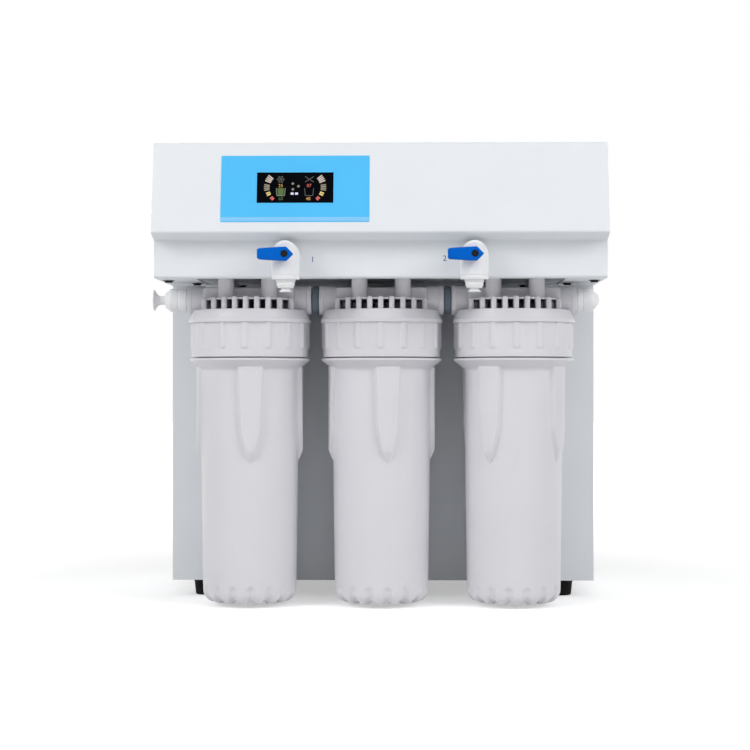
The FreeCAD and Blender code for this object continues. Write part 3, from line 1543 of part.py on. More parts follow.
node("coupling_left", coupling(-1))
node("coupling_right", coupling(0))
node("inlet_connector", inlet_connector())
node("inlet_collet", inlet_collet())
node("outlet_elbow", outlet_elbow())
node("feed_tube", feed_tube())

for side, sign in (("left", -1), ("right", 1)):
    node(f"valve_body_{side}", valve_body(sign))
    node(f"valve_ball_{side}", valve_ball(sign))
    node(f"valve_lever_{side}", valve_lever(sign))
    node(f"lever_screw_{side}", lever_screw(sign))
    node(f"valve_collet_{side}", valve_collet(sign))
    node(f"valve_locknut_{side}", valve_locknut(sign))
node("valve_rail", valve_rail())

node("control_fascia", control_fascia())
node("display_window", display_window())
node("display_board", display_board())
node("control_board", control_board())

node("pump_head", pump_head())
node("pump_motor", pump_motor())
node("membrane_vessel", membrane_vessel())
node("membrane_element", membrane_element())
node("resin_column", resin_column())
node("power_supply", power_supply())
node("internal_tubes", internal_tubes())
node("drain_port", drain_port())
node("drain_collet", drain_collet())
node("power_socket", power_socket())
node("power_rocker", power_rocker())

doc.recompute()
failed = [item.Label for item in doc.Objects if "Invalid" in item.State or "Error" in item.State]
failed += [item.Label for item in nodes if item.Shape.isNull() or not item.Shape.isValid()]
if failed:
    raise RuntimeError(f"did not compute: {', '.join(failed)}")

os.makedirs("parts", exist_ok=True)
for item in nodes:
    item.Shape.exportStep(f"parts/{item.Label}.step")
print(f"{len(nodes)} nodes written")
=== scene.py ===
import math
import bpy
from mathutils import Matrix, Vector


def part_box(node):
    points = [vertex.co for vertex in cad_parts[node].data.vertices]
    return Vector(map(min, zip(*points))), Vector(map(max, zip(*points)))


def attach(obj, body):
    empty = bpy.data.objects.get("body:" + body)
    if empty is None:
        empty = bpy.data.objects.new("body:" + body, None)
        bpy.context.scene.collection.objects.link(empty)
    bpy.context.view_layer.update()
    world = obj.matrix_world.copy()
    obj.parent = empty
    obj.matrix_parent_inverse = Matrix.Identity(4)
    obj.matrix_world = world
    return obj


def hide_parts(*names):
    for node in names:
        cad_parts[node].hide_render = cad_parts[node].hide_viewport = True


bl_info = {
    "name": "Bench ultrapure water system",
    "version": (1, 0, 0),
    "blender": (4, 5, 0),
    "location": "3D View > Sidebar > Water System",
    "description": "Builds the shown surfaces and finishes of a bench ultrapure water system round its solid frame",
    "category": "Add Mesh",
}

from collections import namedtuple

import bmesh
import bpy
import numpy as np

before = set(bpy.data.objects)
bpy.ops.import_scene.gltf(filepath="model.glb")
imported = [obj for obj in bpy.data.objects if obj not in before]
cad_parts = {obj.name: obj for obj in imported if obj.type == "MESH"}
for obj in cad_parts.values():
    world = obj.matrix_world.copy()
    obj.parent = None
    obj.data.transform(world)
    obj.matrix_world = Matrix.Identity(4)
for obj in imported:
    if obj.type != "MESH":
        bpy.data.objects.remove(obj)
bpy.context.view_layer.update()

# Everything is in metres in the frame's own axes: +X right, +Y back, +Z up.


def corners(node):
    """Lowest and highest corner of a node of the frame, as arrays."""
    low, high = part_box(node)
    return np.array(low), np.array(high)


def middle(node):
    """Centre of a node's box."""
    low, high = corners(node)
    return (low + high) / 2


def placed(name, data):
    """A new object of the data, linked to the scene."""
    made = bpy.data.objects.new(name, data)
    bpy.context.scene.collection.objects.link(made)
    return made


SIDES = ("left", "right")
HOUSINGS = ("left", "middle", "right")

# The case's middle, the face of the lower front panel, whose flange stands before it, and the hood's low edge
SHEET = 0.0015
CASE_X = middle("hood_front_panel")[0]
CASE_Y = corners("lower_front_panel")[1][1] - SHEET
HOOD_Z = corners("hood_front_panel")[0][2]

# Points nearer than this become one, and edges over this many degrees are drawn sharp
MERGE = 1e-6
CREASE = 32.0
SHARP_CREASE = 40.0

# Usual edge roundings, the thickness of a print, and the columns of a turned surface
FINE_EDGE = 0.0003
SOFT_EDGE = 0.0006
INK = 0.00005
COLUMNS = 72


def length(name, description, value):
    """A size in metres that the sidebar shows in the scene's unit."""
    return bpy.props.FloatProperty(
        name=name, description=description, default=value, min=0.0, precision=4, unit="LENGTH"
    )


def angle(name, description, degrees):
    """An angle that the sidebar shows in degrees."""
    return bpy.props.FloatProperty(
        name=name, description=description, default=math.radians(degrees), unit="ROTATION"
    )


def tint(name, description, *rgb):
    """A colour as linear red, green and blue."""
    return bpy.props.FloatVectorProperty(
        name=name, description=description, default=rgb, size=3, min=0.0, max=1.0, subtype="COLOR"
    )


class WaterSystemSizes(bpy.types.PropertyGroup):
    """Sizes of the shown surfaces."""

    hood_reach: length("Hood reach", "From the cabinet's front to the upright chin", 0.1396)
    chin_height: length("Chin height", "From the hood's low edge up to the bend", 0.041)
    brow_overhang: length("Brow overhang", "How far the bend stands before the chin", 0.0221)
    brow_height: length("Brow height", "From the bend up to the hood's top", 0.087)
    brow_setback: length("Brow setback", "How far the hood's top lies behind the bend", 0.020)

    nut_radius: length("Nut radius", "Outside of a filter head's nut", 0.0575)
    nut_height: length("Nut height", "Nut of a filter head, from rim to skirt", 0.0334)
    nut_wall: length("Nut wall", "Thickness of the nut", 0.0052)
    grip_width: length("Grip rib width", "One grip rib with its soft flanks", 0.0084)
    grip_rise: length("Grip rib rise", "How far a grip rib stands out of the nut", 0.0015)
    grip_start: length("Grip rib start", "From the nut's rim to the grip ribs' lower ends", 0.0075)
    skirt_radius: length("Skirt radius", "Widest radius of a filter head", 0.060)
    skirt_height: length("Skirt height", "From the nut's top to the head's shoulder", 0.013)
    comb_height: length("Comb height", "Ribs on the head's shoulder", 0.012)
    comb_pitch: length("Comb pitch", "From one rib of the comb to the next", 0.0106)
    comb_rib: length("Comb rib", "Width of a comb rib", 0.0051)
    deck_gauge: length("Deck gauge", "Plate over the comb that the posts stand on", 0.0015)
    deck_inset: length("Deck inset", "From the comb's ends back to the plate's rim", 0.0025)
    comb_radius: length("Comb radius", "Circle that the comb's ends follow", 0.051)
    manifold_rise: length("Manifold rise", "Block between a head's two ports", 0.022)
    port_radius: length("Port radius", "Outside of a head's side port", 0.0145)
    port_root: length("Port root", "Where a port leaves the manifold", 0.044)
    boss_radius: length("Boss radius", "Post that a head hangs from", 0.0077)
    boss_across: length("Boss spacing across", "Between two posts, left to right", 0.042)
    boss_deep: length("Boss spacing deep", "Between two posts, front to back", 0.056)

    bowl_radius: length("Bowl radius", "Bowl just under its cone", 0.0479)
    bowl_waist: length("Bowl waist", "Bowl at half its height", 0.0473)
    bowl_foot: length("Bowl foot", "Bowl just above its round foot", 0.0459)
    foot_rounding: length("Foot rounding", "Round edge at the bowl's foot", 0.011)
    flange_radius: length("Flange radius", "Lip of a bowl under the nut", 0.059)
    neck_radius: length("Neck radius", "Threaded neck of a bowl", 0.052)
    neck_bore: length("Neck bore", "Inside of a bowl's neck", 0.0439)
    neck_height: length("Neck height", "From the flange's top to the neck's rim", 0.0346)
    cone_height: length("Cone height", "Cone under a bowl's flange", 0.0085)
    lip_height: length("Lip height", "Rim of a bowl's flange", 0.002)
    leaf_width: length("Leaf width", "Long rib of a bowl at its top", 0.0245)
    leaf_waist: length("Leaf waist", "Long rib where it starts to narrow", 0.020)
    leaf_length: length("Leaf length", "Long rib from its point to its top", 0.094)
    leaf_taper: length("Leaf taper", "Part of the long rib that narrows to the point", 0.034)
    leaf_nose: length("Leaf nose", "Part of the long rib that rises out of the bowl", 0.012)
    leaf_crest: length("Leaf crest", "Radius of the long ribs' outside", 0.0524)
    leaf_corner: length("Leaf corner", "Round corners at a long rib's top", 0.0025)
    flute_radius: length("Flute radius", "Grooves round a bowl's foot", 0.0052)
    flute_depth: length("Flute depth", "Depth of the grooves at a bowl's foot", 0.0024)
    flute_height: length("Flute height", "Straight part of the grooves", 0.013)
    flute_lift: length("Flute lift", "Rise of the foot's rim where a groove meets it", 0.0026)
    turn_left: angle("Left bowl's turn", "Where the left bowl's ribs stopped", 5.5)
    turn_middle: angle("Middle bowl's turn", "Where the middle bowl's ribs stopped", 8.0)
    turn_right: angle("Right bowl's turn", "Where the right bowl's ribs stopped", 58.5)

    collar_width: length("Collar width", "Collar between two heads", 0.0074)
    collar_edge: length("Collar edge", "Bevelled edges of that collar", 0.0013)
    valve_radius: length("Valve radius", "Barrel and crown of a valve", 0.0132)
    valve_neck: length("Valve neck", "Neck from a valve's barrel to the chin", 0.0126)
    valve_boss: length("Valve boss", "Round boss behind a lever", 0.0063)
    valve_drop: length("Valve drop", "From a valve's pivot down to its barrel's end", 0.023)
    cap_radius: length("Cap radius", "Collet cap under a valve", 0.0092)
    cap_tip: length("Cap tip radius", "Lower end of the collet cap", 0.0072)
    lever_tail: length("Lever tail", "From a lever's pivot to its square end", 0.0253)
    lever_end: length("Lever end width", "Width of a lever's square end", 0.010)
    lever_hub: length("Lever hub width", "Width of a lever at its pivot", 0.0134)
    lever_tip: length("Lever tip", "From a lever's pivot to its point", 0.0083)
    recess_radius: length("Recess radius", "Round hollow at a lever's pivot", 0.0034)
    recess_depth: length("Recess depth", "Depth of that hollow", 0.003)

    fascia_corner: length("Fascia corner", "Round corners of the blue film", 0.001)
    fascia_left: length("Fascia left edge", "From the case's middle to the film's left edge", 0.1501)
    fascia_width: length("Fascia width", "Blue film on the brow", 0.1402)
    fascia_low: length("Fascia low edge", "From the bend up to the film", 0.0106)
    fascia_height: length("Fascia height", "Blue film along the brow", 0.06557)
    fascia_gauge: length("Fascia gauge", "Thickness of the film", 0.0005)
    window_width: length("Window width", "Display window", 0.0721)
    window_height: length("Window height", "Display window along the brow", 0.0300)
    window_low: length("Window low edge", "From the film's low edge to the window", 0.0188)
    stripe_low: length("Stripe low edge", "From the film's low edge to its pale stripe", 0.001)
    stripe_height: length("Stripe height", "Pale stripe along the film", 0.0036)
    numeral_size: length("Numeral size", "Height of the two numerals beside the valves", 0.0075)


class WaterSystemColours(bpy.types.PropertyGroup):
    """Colours of the finishes."""

    painted_case: tint("Case paint", "Powder coat of the case", 0.785, 0.815, 0.845)
    plated_steel: tint("Steel", "Zinc-plated plates", 0.62, 0.63, 0.64)
    # Painted shade: this near-black stands in for the shade on the screws under the hood's flange and in the levers'
    # recesses, in place of their plated steel
    dark_screws: tint("Dark screws", "Blackened screw heads", 0.008, 0.008, 0.009)
    foot_rubber: tint("Rubber", "Feet", 0.005, 0.005, 0.0055)
    seal_rubber: tint("Seal", "Sealing rings", 0.02, 0.02, 0.02)
    white_housing: tint("Housing plastic", "Heads and bowls", 0.70, 0.695, 0.73)
    white_fitting: tint("Fitting plastic", "Valves, collets and connectors", 0.84, 0.845, 0.86)
    valve_core: tint("Valve core", "Balls and stems", 0.62, 0.63, 0.64)
    blue_lever: tint("Lever blue", "Levers of the valves", 0.001, 0.125, 0.58)
    grey_coupling: tint("Coupling grey", "Collars between the heads", 0.12, 0.155, 0.19)
    tube_plastic: tint("Tube", "Water tubes", 0.74, 0.76, 0.77)
    blue_fascia: tint("Fascia blue", "Printed film on the brow", 0.080, 0.51, 0.92)
    pale_stripe: tint("Stripe blue", "Pale stripe of the film", 0.245, 0.60, 0.93)
    display_lens: tint("Lens", "Display window", 0.0004, 0.0010, 0.0024)
    circuit_board: tint("Board", "Printed circuit boards", 0.01, 0.11, 0.045)
    sediment_media: tint("Sediment media", "Melt-blown cartridge", 0.78, 0.77, 0.73)
    carbon_shell: tint("Carbon shell", "Shell of the granular cartridge", 0.70, 0.71, 0.72)
    carbon_block: tint("Carbon", "Pressed carbon block", 0.018, 0.018, 0.019)
    pump_metal: tint("Pump metal", "Motor can", 0.45, 0.46, 0.47)
    pump_plastic: tint("Pump plastic", "Pump head", 0.02, 0.02, 0.022)
    vessel_plastic: tint("Vessel", "Membrane vessel and resin column", 0.74, 0.75, 0.77)
    membrane_wrap: tint("Membrane wrap", "Wound membrane's tape", 0.25, 0.42, 0.62)
    supply_cage: tint("Supply cage", "Power supply's cage", 0.50, 0.51, 0.52)
    black_plastic: tint("Black plastic", "Mains inlet and rocker", 0.015, 0.015, 0.016)
    printed_numeral: tint("Numerals", "Printed numerals beside the valves", 0.05, 0.10, 0.28)
    mark_white: tint("White marks", "Lit display bars", 0.33, 0.28, 0.24)
    mark_grey: tint("Grey marks", "Dim display bars", 0.15, 0.13, 0.095)
    mark_faint: tint("Faint marks", "Unlit display marks", 0.036, 0.035, 0.031)
    mark_pale: tint("Pale marks", "Outline of the left tank", 0.11, 0.14, 0.085)
    mark_yellow: tint("Yellow marks", "Lit display bars", 0.42, 0.33, 0.12)
    mark_amber: tint("Amber marks", "Lit display digits", 0.36, 0.20, 0.045)
    mark_red: tint("Red marks", "Lit display digits and bars", 0.40, 0.075, 0.06)
    mark_green: tint("Green marks", "Filled tank of the display", 0.034, 0.066, 0.009)
    mark_blue: tint("Blue marks", "Lit display dots", 0.46, 0.42, 0.58)


# Surfaces


def around(columns):
    """Evenly spaced angles round a full turn, as one row."""
    return np.linspace(0, 2 * np.pi, columns, endpoint=False)[None, :]


def softened(points, radius, steps=4):
    """Line with round corners: each inner corner b becomes (1 - t)^2 a + 2 t (1 - t) b + t^2 c for t from 0 to 1,
    where a and c lie on its two sides, the radius away or 0.45 of the side where that is less."""
    points = np.asarray(points, float)
    corner = points[1:-1]
    reach = np.reshape(radius, (-1, 1))
    ends = []
    for other in (points[:-2], points[2:]):
        side = other - corner
        span = np.linalg.norm(side, axis=1, keepdims=True)
        ends.append(corner + side / span * np.minimum(reach, 0.45 * span))
    t = np.linspace(0, 1, steps + 1)[None, :, None]
    curve = (1 - t) ** 2 * ends[0][:, None] + 2 * t * (1 - t) * corner[:, None] + t**2 * ends[1][:, None]
    return np.vstack((points[:1], curve.reshape(-1, points.shape[1]), points[-1:]))


ACROSS_AND_ALONG = {"X": (1, 2, 0), "Y": (0, 2, 1), "Z": (0, 1, 2)}


def turned(radius, height, turn, axis, centre):
    """Surface of revolution: across the axis, radius times cosine and sine of the turn; along it, the height."""
    radius, height, turn = np.broadcast_arrays(radius, height, turn)
    first, second, along = ACROSS_AND_ALONG[axis]
    grid = np.zeros(radius.shape + (3,))
    grid[..., first] = radius * np.cos(turn)
    grid[..., second] = radius * np.sin(turn)
    grid[..., along] = height
    return grid + np.asarray(centre)


def lathed(points, rounding, axis, centre, columns=COLUMNS):
    """Turned surface of a line of (radius, height) points whose corners are rounded."""
    line = softened(points, rounding)
    return turned(line[:, :1], line[:, 1:], around(columns), axis, centre)


def round_box(half_width, half_depth, corner, steps=5):
    """Outline of four quarter circles about the corners' centres: centre plus corner radius times (cos, sin)."""
    quarter = np.linspace(0, np.pi / 2, steps + 1)
    turn = np.arange(4)[:, None] * np.pi / 2 + quarter[None, :]
    across = (half_width - corner) * np.array([1, -1, -1, 1])[:, None] + corner * np.cos(turn)
    deep = (half_depth - corner) * np.array([1, 1, -1, -1])[:, None] + corner * np.sin(turn)
    return np.stack((across.ravel(), deep.ravel()), axis=-1)


def stacked(rows):
    """Surface through outlines: each row is an outline of (x, y) points and its height."""
    return np.stack([np.column_stack((outline, np.full(len(outline), height))) for outline, height in rows])


def joined(surfaces):
    """Points and faces of closed grids: each point joins the next along and around, and an open end gets one face."""
    points, faces, start = [], [], 0
    for grid in surfaces:
        rows, columns = grid.shape[:2]
        here = start + np.arange(rows * columns).reshape(rows, columns)
        beside = np.roll(here, -1, axis=1)
        faces += np.stack((here[:-1], beside[:-1], beside[1:], here[1:]), axis=-1).reshape(-1, 4).tolist()
        if not np.allclose(grid[0], grid[-1], atol=MERGE):
            faces += [here[row].tolist() for row in (0, -1) if np.ptp(grid[row], axis=0).max() > MERGE]
        points.append(grid.reshape(-1, 3))
        start += rows * columns
    return np.concatenate(points), faces


def piece(name, surfaces, body, slot_name, nodes=(), look=None, crease=CREASE):
    """One closed piece of the surfaces, finished, riding on a body and standing for the nodes."""
    points, faces = joined(surfaces)
    mesh = bpy.data.meshes.new(name)
    mesh.from_pydata(points.tolist(), [], faces)
    return dressed(name, mesh, body, slot_name, nodes, look, crease)


def dressed(name, mesh, body, slot_name=None, nodes=(), look=None, crease=CREASE):
    """Closes a mesh's seams, turns its faces outwards, and hangs it in the frame. Its material is the look, or else
    the finish of its slot."""
    shape = bmesh.new()
    shape.from_mesh(mesh)
    bmesh.ops.remove_doubles(shape, verts=shape.verts, dist=MERGE)
    bmesh.ops.dissolve_degenerate(shape, edges=shape.edges, dist=MERGE)
    bmesh.ops.recalc_face_normals(shape, faces=shape.faces)
    shape.to_mesh(mesh)
    shape.free()
    mesh.shade_smooth()
    mesh.set_sharp_from_angle(angle=math.radians(crease))
    mesh.materials.clear()
    mesh.materials.append(look or finish(slot_name))
    made = placed(name, mesh)
    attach(made, body)
    if nodes:
        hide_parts(*nodes)
    return made


# A finish: its roughness, the size, bump depth and mottling of its fine texture, and what differs from the usual
Finish = namedtuple("Finish", "roughness size depth mottling kind metallic stretch specular",
                    defaults=("NOISE", 0.0, (1, 1, 1), 0.5))

# By the name of their colour, which for all but dark_screws, pale_stripe and printed_numeral is a slot's name too
FINISHES = {
    "painted_case": Finish(0.55, 0.0011, 0.00004, 0.025, specular=0.25),
    "plated_steel": Finish(0.36, 0.0030, 0.00001, 0.10, metallic=0.9, stretch=(1, 8, 1)),
    # Painted shade for the screws under the hood and in the levers' recesses
    "dark_screws": Finish(0.38, 0.0006, 0.00002, 0.20, metallic=0.4, specular=0.25),
    "foot_rubber": Finish(0.72, 0.0007, 0.00006, 0.25, specular=0.15),
    "seal_rubber": Finish(0.50, 0.0005, 0.00002, 0.20, specular=0.4),
    "white_housing": Finish(0.34, 0.0009, 0.000014, 0.03, stretch=(1, 1, 0.35)),
    "white_fitting": Finish(0.30, 0.0007, 0.00001, 0.025),
    "valve_core": Finish(0.30, 0.0010, 0.00001, 0.06, metallic=0.4, stretch=(1, 1, 5)),
    "blue_lever": Finish(0.34, 0.0008, 0.000016, 0.12, specular=0.05),
    "grey_coupling": Finish(0.40, 0.0009, 0.00002, 0.18, specular=0.3),
    "tube_plastic": Finish(0.30, 0.0040, 0.00002, 0.06, stretch=(1, 1, 0.2)),
    "blue_fascia": Finish(0.36, 0.0005, 0.000008, 0.035, specular=0.3),
    "pale_stripe": Finish(0.36, 0.0005, 0.000008, 0.035, specular=0.3),
    "display_lens": Finish(0.16, 0.0100, 0.000006, 0.30, specular=0.02),
    "circuit_board": Finish(0.35, 0.0035, 0.00004, 0.35, kind="BRICK"),
    "sediment_media": Finish(0.90, 0.0012, 0.00025, 0.10, stretch=(1, 1, 3)),
    "carbon_shell": Finish(0.45, 0.0012, 0.00002, 0.05, stretch=(1, 1, 0.3)),
    "carbon_block": Finish(0.88, 0.0016, 0.00022, 0.45, kind="CELLS"),
    "pump_metal": Finish(0.38, 0.0020, 0.00001, 0.10, metallic=0.9, stretch=(1, 1, 12)),
    "pump_plastic": Finish(0.50, 0.0010, 0.00005, 0.25, specular=0.4),
    "vessel_plastic": Finish(0.40, 0.0015, 0.00002, 0.04, stretch=(1, 1, 0.3)),
    "membrane_wrap": Finish(0.35, 0.0120, 0.00006, 0.20, kind="BANDS", stretch=(0.35, 0.35, 1)),
    "supply_cage": Finish(0.40, 0.0050, 0.00030, 0.60, kind="CELLS", metallic=0.8),
    "black_plastic": Finish(0.45, 0.0008, 0.00004, 0.20, specular=0.4),
    "printed_numeral": Finish(0.45, 0.0004, 0.000004, 0.15, specular=0.2),
}

# Kinds of texture: the node, its output and the inputs that are set
TEXTURES = {
    "NOISE": ("ShaderNodeTexNoise", "Fac", {"Detail": 4.0}),
    "CELLS": ("ShaderNodeTexVoronoi", "Distance", {}),
    "BANDS": ("ShaderNodeTexWave", "Fac", {"Distortion": 0.6}),
    "BRICK": ("ShaderNodeTexBrick", "Fac", {"Mortar Size": 0.03}),
}

# Colours of the display's bars and outlines
MARKS = ("white", "grey", "faint", "pale", "yellow", "red", "green", "blue")

# Size of the broad drift in a finish's colour, and how far its roughness swings either way
DRIFT = 0.045
ROUGHNESS_SPREAD = 0.05

# Nodes of screws given painted shade: a near-black finish in place of their plated slot, standing in for the shade on
# them under the hood's flange and in the levers' recesses
SCREWS_IN_PAINTED_SHADE = ("case_screws", "filter_screws", "lever_screw_left", "lever_screw_right")


def blank(name):
    """A new material, with its nodes, links and shader."""
    made = bpy.data.materials.new("finish_" + name)
    made.use_nodes = True
    nodes, links = made.node_tree.nodes, made.node_tree.links
    return made, nodes, links, nodes["Principled BSDF"]


def combined(nodes, links, operation, first, second):
    """Two values put together by a math node; returns its output."""
    node = nodes.new("ShaderNodeMath")
    node.operation = operation
    links.new(first, node.inputs[0])
    links.new(second, node.inputs[1])
    return node.outputs["Value"]


def textured(nodes, links, kind, size, stretch=(1, 1, 1)):
    """Fine texture on the object's own coordinates, of about the feature size given; returns its output."""
    place = nodes.new("ShaderNodeTexCoord")
    mapping = nodes.new("ShaderNodeMapping")
    mapping.inputs["Scale"].default_value = stretch
    links.new(place.outputs["Object"], mapping.inputs["Vector"])
    node_type, output, settings = TEXTURES[kind]
    texture = nodes.new(node_type)
    if kind == "BANDS":
        texture.bands_direction = "Z"
    for name, value in settings.items():
        texture.inputs[name].default_value = value
    texture.inputs["Scale"].default_value = 1.0 / size
    links.new(mapping.outputs["Vector"], texture.inputs["Vector"])
    return texture.outputs[output]


def ranged(nodes, links, value, low, high, start=0.0, end=1.0):
    """Maps start to end onto low to high."""
    node = nodes.new("ShaderNodeMapRange")
    for name, limit in (("From Min", start), ("From Max", end), ("To Min", low), ("To Max", high)):
        node.inputs[name].default_value = limit
    links.new(value, node.inputs["Value"])
    return node.outputs["Result"]


def mottled(nodes, links, colour, share, size, fine):
    """Colour that drifts a little over the surface: the product of broad noise and the fine texture takes it from the
    share darker to the share lighter."""
    blend = combined(nodes, links, "MULTIPLY", textured(nodes, links, "NOISE", size), fine)
    mix = nodes.new("ShaderNodeMix")
    mix.data_type = "RGBA"
    mix.inputs["A"].default_value = (*[channel * (1 - share) for channel in colour], 1)
    mix.inputs["B"].default_value = (*[min(1.0, channel * (1 + share)) for channel in colour], 1)
    links.new(ranged(nodes, links, blend, 0.0, 2.0), mix.inputs["Factor"])
    return mix.outputs["Result"]


def finish(name):
    """The named finish as a material, made the first time that it is asked for."""
    made = bpy.data.materials.get("finish_" + name)
    if made:
        return made
    look = FINISHES[name]
    made, nodes, links, shader = blank(name)
    fine = textured(nodes, links, look.kind, look.size, look.stretch)
    colour = mottled(nodes, links, getattr(bpy.context.scene.water_colours, name), look.mottling, DRIFT, fine)
    links.new(colour, shader.inputs["Base Color"])
    sheen = ranged(nodes, links, fine, look.roughness - ROUGHNESS_SPREAD, look.roughness + ROUGHNESS_SPREAD)
    links.new(sheen, shader.inputs["Roughness"])
    bump = nodes.new("ShaderNodeBump")
    bump.inputs["Distance"].default_value = look.depth
    bump.inputs["Strength"].default_value = 1.0
    links.new(fine, bump.inputs["Height"])
    links.new(bump.outputs["Normal"], shader.inputs["Normal"])
    shader.inputs["Metallic"].default_value = look.metallic
    shader.inputs["Specular IOR Level"].default_value = look.specular
    return made


def lit(name):
    """A display mark's finish: its colour on a dot raster, lit from within."""
    made = bpy.data.materials.get("finish_mark_" + name)
    if made:
        return made
    dot, drift, mottling, brightness, roughness = 0.0003, 0.004, 0.12, 0.75, 0.4
    made, nodes, links, shader = blank("mark_" + name)
    colour = getattr(bpy.context.scene.water_colours, "mark_" + name)
    shade = mottled(nodes, links, colour, mottling, drift, textured(nodes, links, "CELLS", dot))
    links.new(shade, shader.inputs["Base Color"])
    links.new(shade, shader.inputs["Emission Color"])
    shader.inputs["Emission Strength"].default_value = brightness
    shader.inputs["Roughness"].default_value = roughness
    return made


# Places on the hood


def on_brow(points):
    """Brow's (across, up, out) to the frame: the bend line plus up times the brow's slope plus out times its normal."""
    size = bpy.context.scene.water_sizes
    run = math.hypot(size.brow_setback, size.brow_height)
    lean, rise = size.brow_setback / run, size.brow_height / run
    across, up, out = np.moveaxis(np.asarray(points, float), -1, 0)
    y = CASE_Y - size.hood_reach - size.brow_overhang + up * lean - out * rise
    z = HOOD_Z + size.chin_height + up * rise + out * lean
    return np.stack((CASE_X + across, y, z), axis=-1)


def on_chin(points):
    """Chin's (across, up, out) to the frame: the chin is upright, so up is height over its low edge, out is depth."""
    size = bpy.context.scene.water_sizes
    across, up, out = np.moveaxis(np.asarray(points, float), -1, 0)
    return np.stack((CASE_X + across, CASE_Y - size.hood_reach - out, HOOD_Z + up), axis=-1)


def lettered(name, text, height, place, at, gauge):
    """A word of plain digits as a raised print: the text's own outline, laid on the surface that place gives."""
    curve = bpy.data.curves.new(name, "FONT")
    curve.body = text
    curve.size = height
    curve.align_x = "CENTER"
    curve.align_y = "CENTER"
    curve.extrude = gauge / 2
    curve.resolution_u = 3
    holder = placed(name, curve)
    bpy.context.view_layer.update()
    mesh = bpy.data.meshes.new_from_object(holder)
    bpy.data.objects.remove(holder)
    bpy.data.curves.remove(curve)
    points = np.zeros(len(mesh.vertices) * 3)
    mesh.vertices.foreach_get("co", points)
    points = points.reshape(-1, 3) + np.array([at[0], at[1], at[2] + gauge / 2])
    mesh.vertices.foreach_set("co", place(points).ravel())
    return mesh


# Pieces

# Grip ribs of a nut, long ribs of a bowl, flutes of its foot
GRIPS = 16
LEAVES = 4
FLUTES = 16

# Radii that the fittings share: spigots in the ports, bores of the caps, and the collets in them
SPIGOT = 0.010
CAP_BORE = 0.0046
COLLET_BORE = 0.0032
COLLET_NECK = 0.0044


def comb_surfaces(size, centre, base_z):
    """The comb: upright ribs front to back of one width, their ends on a circle and their tops a little round, and the
    thin round plate that lies over them, just behind their ends."""
    aside, edge, corner, root = 4, 0.0012, 0.0016, 0.001
    surfaces = []
    half = size.comb_rib / 2
    for across in size.comb_pitch * np.arange(-aside, aside + 1):
        reach = math.sqrt(size.comb_radius**2 - across**2)
        height = size.comb_height - edge * (across / (aside * size.comb_pitch)) ** 2
        rows = [(round_box(half - cut, reach - cut, corner - 0.9 * cut, 4), z)
                for cut, z in ((0, -root), (0, height - edge), (edge / 3, height - edge / 3), (edge, height))]
        surfaces.append(stacked(rows) + np.array([centre[0] + across, centre[1], base_z]))
    rim, top = size.comb_radius - size.deck_inset, size.comb_height - edge
    plate = [(0, top - size.deck_gauge), (rim, top - size.deck_gauge), (rim, top), (0, top)]
    surfaces.append(lathed(plate, FINE_EDGE, "Z", (centre[0], centre[1], base_z), columns=64))
    return surfaces


def nut_surface(size, centre, rim_z):
    """The head's turned shell. Its radius is the profile's, and on the nut's side it grows by the grip ribs' rise times
    a bell over each rib's width; near a rib's lower end the bell narrows as a half circle."""
    skirt_z = size.nut_height
    top_z = skirt_z + size.skirt_height
    bore = size.nut_radius - size.nut_wall
    start, tip = size.grip_start, size.grip_start + size.grip_width / 2
    bevel, ledge, band, hem = 0.0045, 0.001, 0.0036, 0.001
    ceiling, spigot, spigot_z = 0.0384, 0.0132, 0.0094
    outer = softened(
        [
            (0, top_z), (size.skirt_radius - bevel, top_z), (size.skirt_radius - ledge, skirt_z + bevel),
            (size.skirt_radius, skirt_z + band), (size.skirt_radius, skirt_z), (size.nut_radius, skirt_z),
        ],
        (0.0012, 0.0012, 0.0004, 0.0005),
    )
    side_z = np.concatenate((np.linspace(skirt_z - 0.0002, tip, 5), start + (tip - start) * np.linspace(0.85, 0, 8)))
    side = np.column_stack((np.full(len(side_z), size.nut_radius), side_z))
    inner = softened(
        [
            (size.nut_radius, start - hem), (size.nut_radius, 0), (bore, 0), (bore, ceiling), (spigot, ceiling),
            (spigot, spigot_z), (0, spigot_z),
        ],
        (0.0007, 0.0006, 0.001, 0.001, 0.0005),
    )
    line = np.vstack((outer, side, inner))
    ribbed = np.zeros(len(line))
    ribbed[len(outer):len(outer) + len(side)] = 1.0
    spread = np.sqrt(np.clip(1 - ((tip - line[:, 1]) / (tip - start)).clip(0) ** 2, 0, 1))
    spread = np.where(ribbed > 0, spread, (line[:, 1] > tip) | (line[:, 0] < bore + hem))[:, None]
    offsets = np.array([-1.0, -0.78, -0.58, -0.38, 0.0, 0.38, 0.58, 0.78, 1.0])
    shares = np.array([0.0, 0.25, 0.75, 0.96, 1.0, 0.96, 0.75, 0.25, 0.0])
    half = np.arcsin(size.grip_width / 2 / size.nut_radius)
    period = 2 * np.pi / GRIPS
    gap = np.linspace(half, period - half, 5)[1:-1]
    least_spread = 0.3
    rib_turn = offsets[None, :] * half * np.maximum(spread, least_spread)
    gap_turn = np.broadcast_to(gap[None, :], (len(line), len(gap)))
    block = np.concatenate((rib_turn, gap_turn), axis=1)
    bell = np.concatenate((shares, np.zeros(len(gap))))[None, :] * spread * ribbed[:, None] * size.grip_rise
    turn = (block[:, None, :] + (np.arange(GRIPS) * period - np.pi / 2)[None, :, None]).reshape(len(line), -1)
    radius = line[:, :1] + np.tile(bell, (1, GRIPS))
    return turned(radius, line[:, 1:], turn, "Z", (centre[0], centre[1], rim_z))


